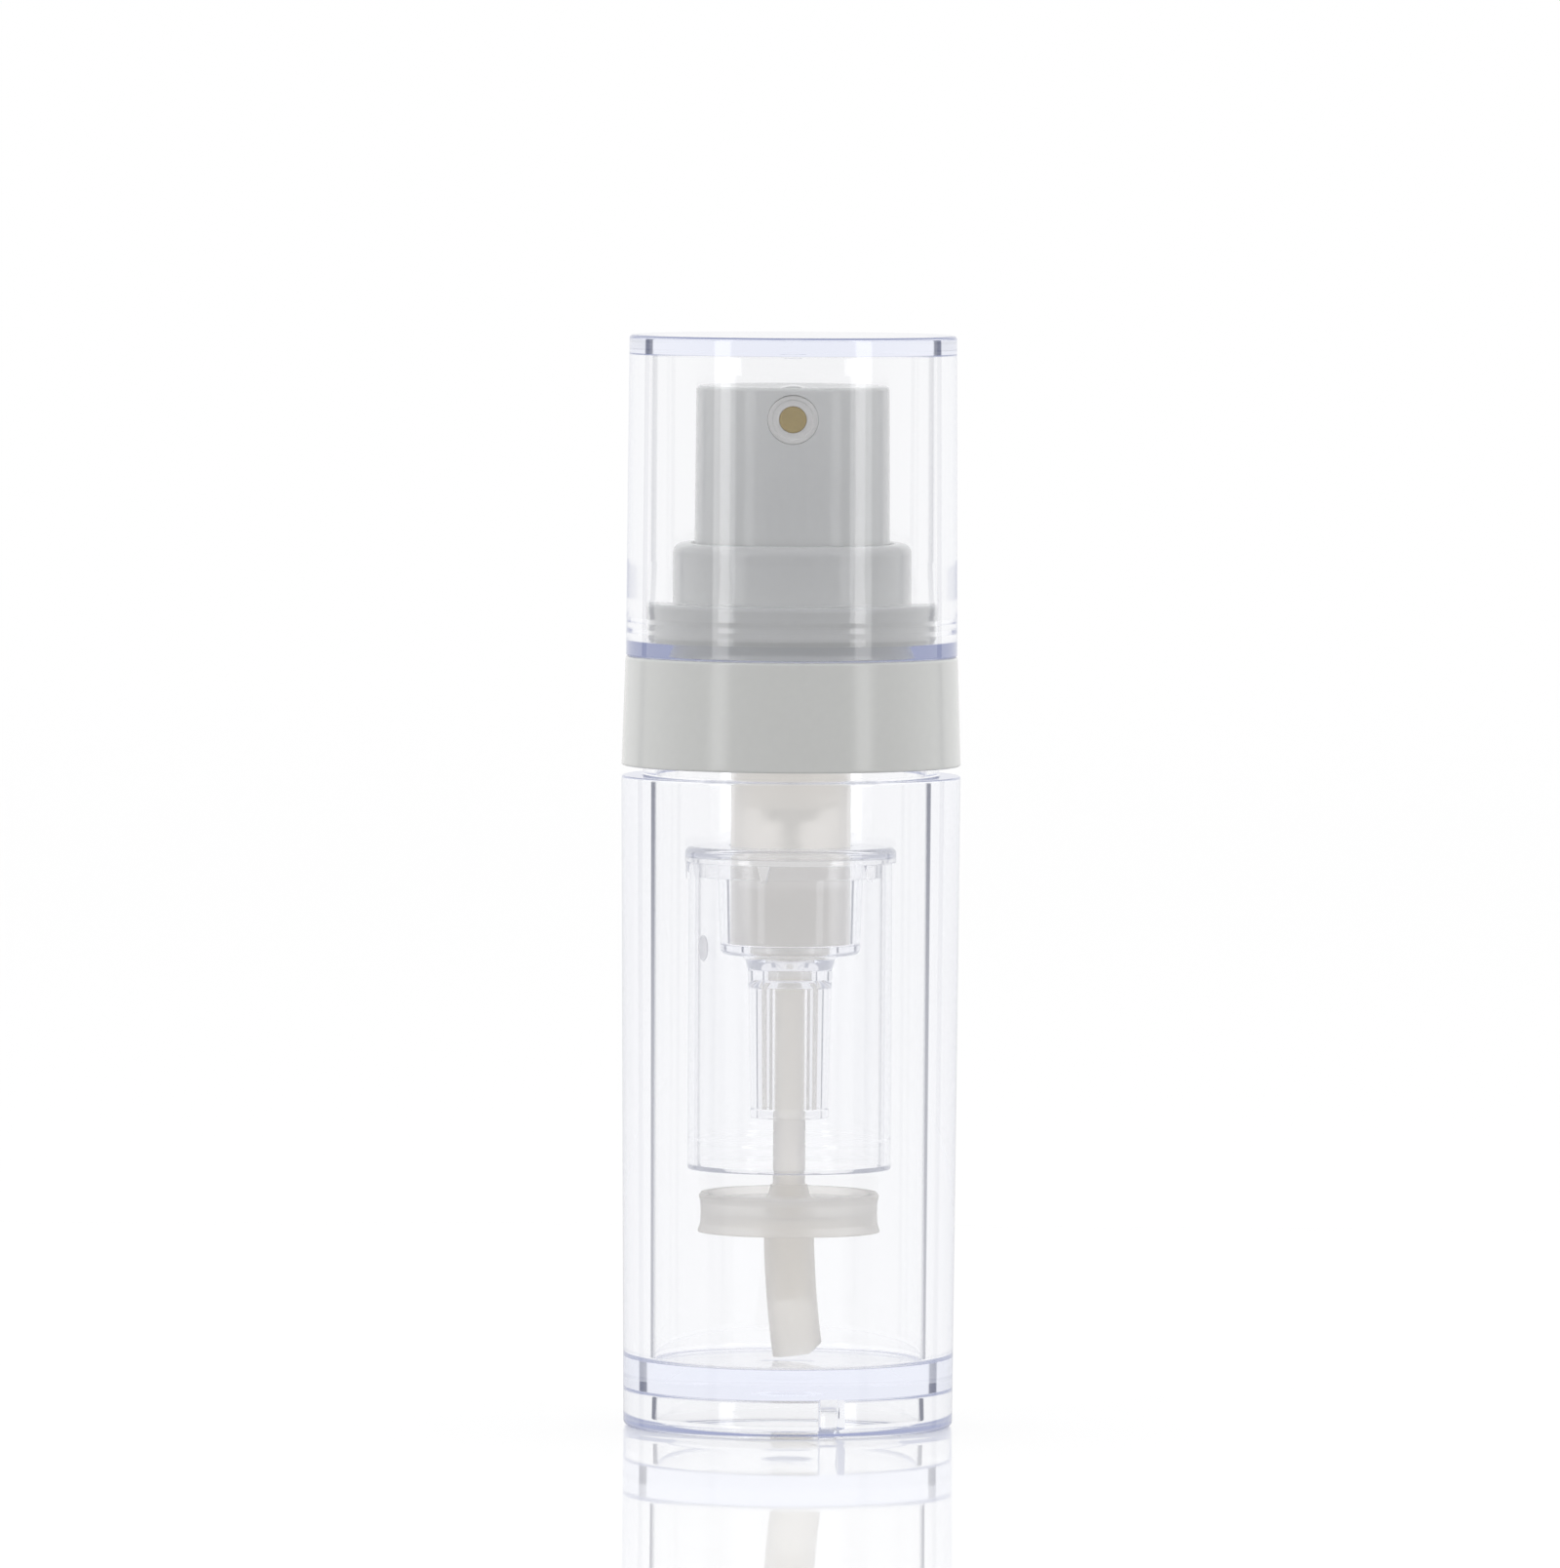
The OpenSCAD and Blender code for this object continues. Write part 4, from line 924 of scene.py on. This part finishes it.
def choose(value, without, having):
    """The first colour where the value is 0 and the second where it is 1."""
    node = add(tree, "ShaderNodeMix", {"data_type": "RGBA"}, {"Factor": value})
    for name, colour in (("A", without), ("B", having)):
        if isinstance(colour, bpy.types.NodeSocket):
            tree.links.new(colour, node.inputs[name])
        else:
            node.inputs[name].default_value = (*[colour] * 3, 1)
    return node.outputs["Result"]


ahead = calculate("MULTIPLY", axes.outputs["Y"], axes.outputs["Y"])
across = calculate("MULTIPLY", axes.outputs["X"], axes.outputs["X"])
level = calculate("ADD", calculate("ADD", ahead, across), 1e-6)
share = calculate("DIVIDE", ahead, level)
DARK = (0.18, 0.19, 0.24, 1)
WHITE = 0.985
STRIP_RADIANCE = 3.0
gaps = tones(share, (0.0, 0.85), (0.27, 0.85), (0.29, DARK), (0.38, DARK), (0.4, WHITE),
             (1.0, WHITE))
facing = calculate("DIVIDE", axes.outputs["Y"], calculate("SQRT", level))
turn = calculate("MULTIPLY_ADD", facing, 0.5, 0.5)
room = tones(turn, (0.1, 0.65), (0.5, 0.9), (0.758, 0.94), (0.769, DARK), (0.808, DARK),
             (0.818, WHITE))
strips = tones(turn, (0.138, 0.0), (0.15, 1.0), (0.222, 1.0), (0.234, 0.0))
low = calculate("LESS_THAN", axes.outputs["Z"], 0.7)
height = calculate("ABSOLUTE", axes.outputs["Z"])
above = add(tree, "ShaderNodeMapRange", {}, {
    "Value": height, "From Min": 0.2, "From Max": 0.26, "To Min": 0.0, "To Max": 1.0})
rays = add(tree, "ShaderNodeLightPath", {}, {})
through = choose(above.outputs["Result"], gaps, WHITE)
mirrored = choose(calculate("MULTIPLY", strips, low),
                  choose(above.outputs["Result"], room, WHITE), STRIP_RADIANCE)
seen = choose(calculate("COMPARE", rays.outputs["Glossy Depth"], 1.0, 0.5), through, mirrored)
looked_at = calculate("MAXIMUM", rays.outputs["Is Glossy Ray"],
                      rays.outputs["Is Transmission Ray"])
shown = calculate("MULTIPLY", looked_at,
                  calculate("LESS_THAN", rays.outputs["Diffuse Depth"], 0.5))
ambient = tones(calculate("MULTIPLY_ADD", axes.outputs["Y"], 0.5, 0.5),
                (0.0, 0.04), (0.3, 0.43), (0.45, 1.0), (1.0, 1.04))
everything = choose(rays.outputs["Is Camera Ray"], choose(shown, ambient, seen), 1.0)
# Light on a piece inside a clear one is a little stronger, as its walls gather it
twice = calculate("MULTIPLY", rays.outputs["Is Transmission Ray"],
                  calculate("GREATER_THAN", rays.outputs["Diffuse Depth"], 0.5))
strength = calculate("MULTIPLY_ADD", twice, 0.1, 1.0)
light = add(tree, "ShaderNodeBackground", {}, {"Color": everything, "Strength": strength})
add(tree, "ShaderNodeOutputWorld", {}, {"Surface": light.outputs["Background"]})


# Lamps: two tall strips in front, to the left and the right. The world shows them to mirrors,
# so that they are mirrored down to the floor

def strip(name, turn, width, radiance):
    """A tall lamp at a turn from the front, which faces the bottle."""
    distance, tall, low = 0.9, 1.4, -0.2
    data = bpy.data.lights.new(name, "AREA")
    data.shape = "RECTANGLE"
    data.size = width
    data.size_y = tall
    data.energy = radiance * pi * width * tall
    lamp = bpy.data.objects.new(name, data)
    lamp.location = (distance * sin(radians(turn)), -distance * cos(radians(turn)), low + tall / 2)
    lamp.rotation_euler = (radians(90), 0, radians(turn))
    lamp.visible_camera = False
    lamp.visible_transmission = False
    lamp.visible_glossy = False
    scene.collection.objects.link(lamp)


strip("left strip", -52, 0.2, STRIP_RADIANCE)
strip("right strip", 50, 0.18, STRIP_RADIANCE)
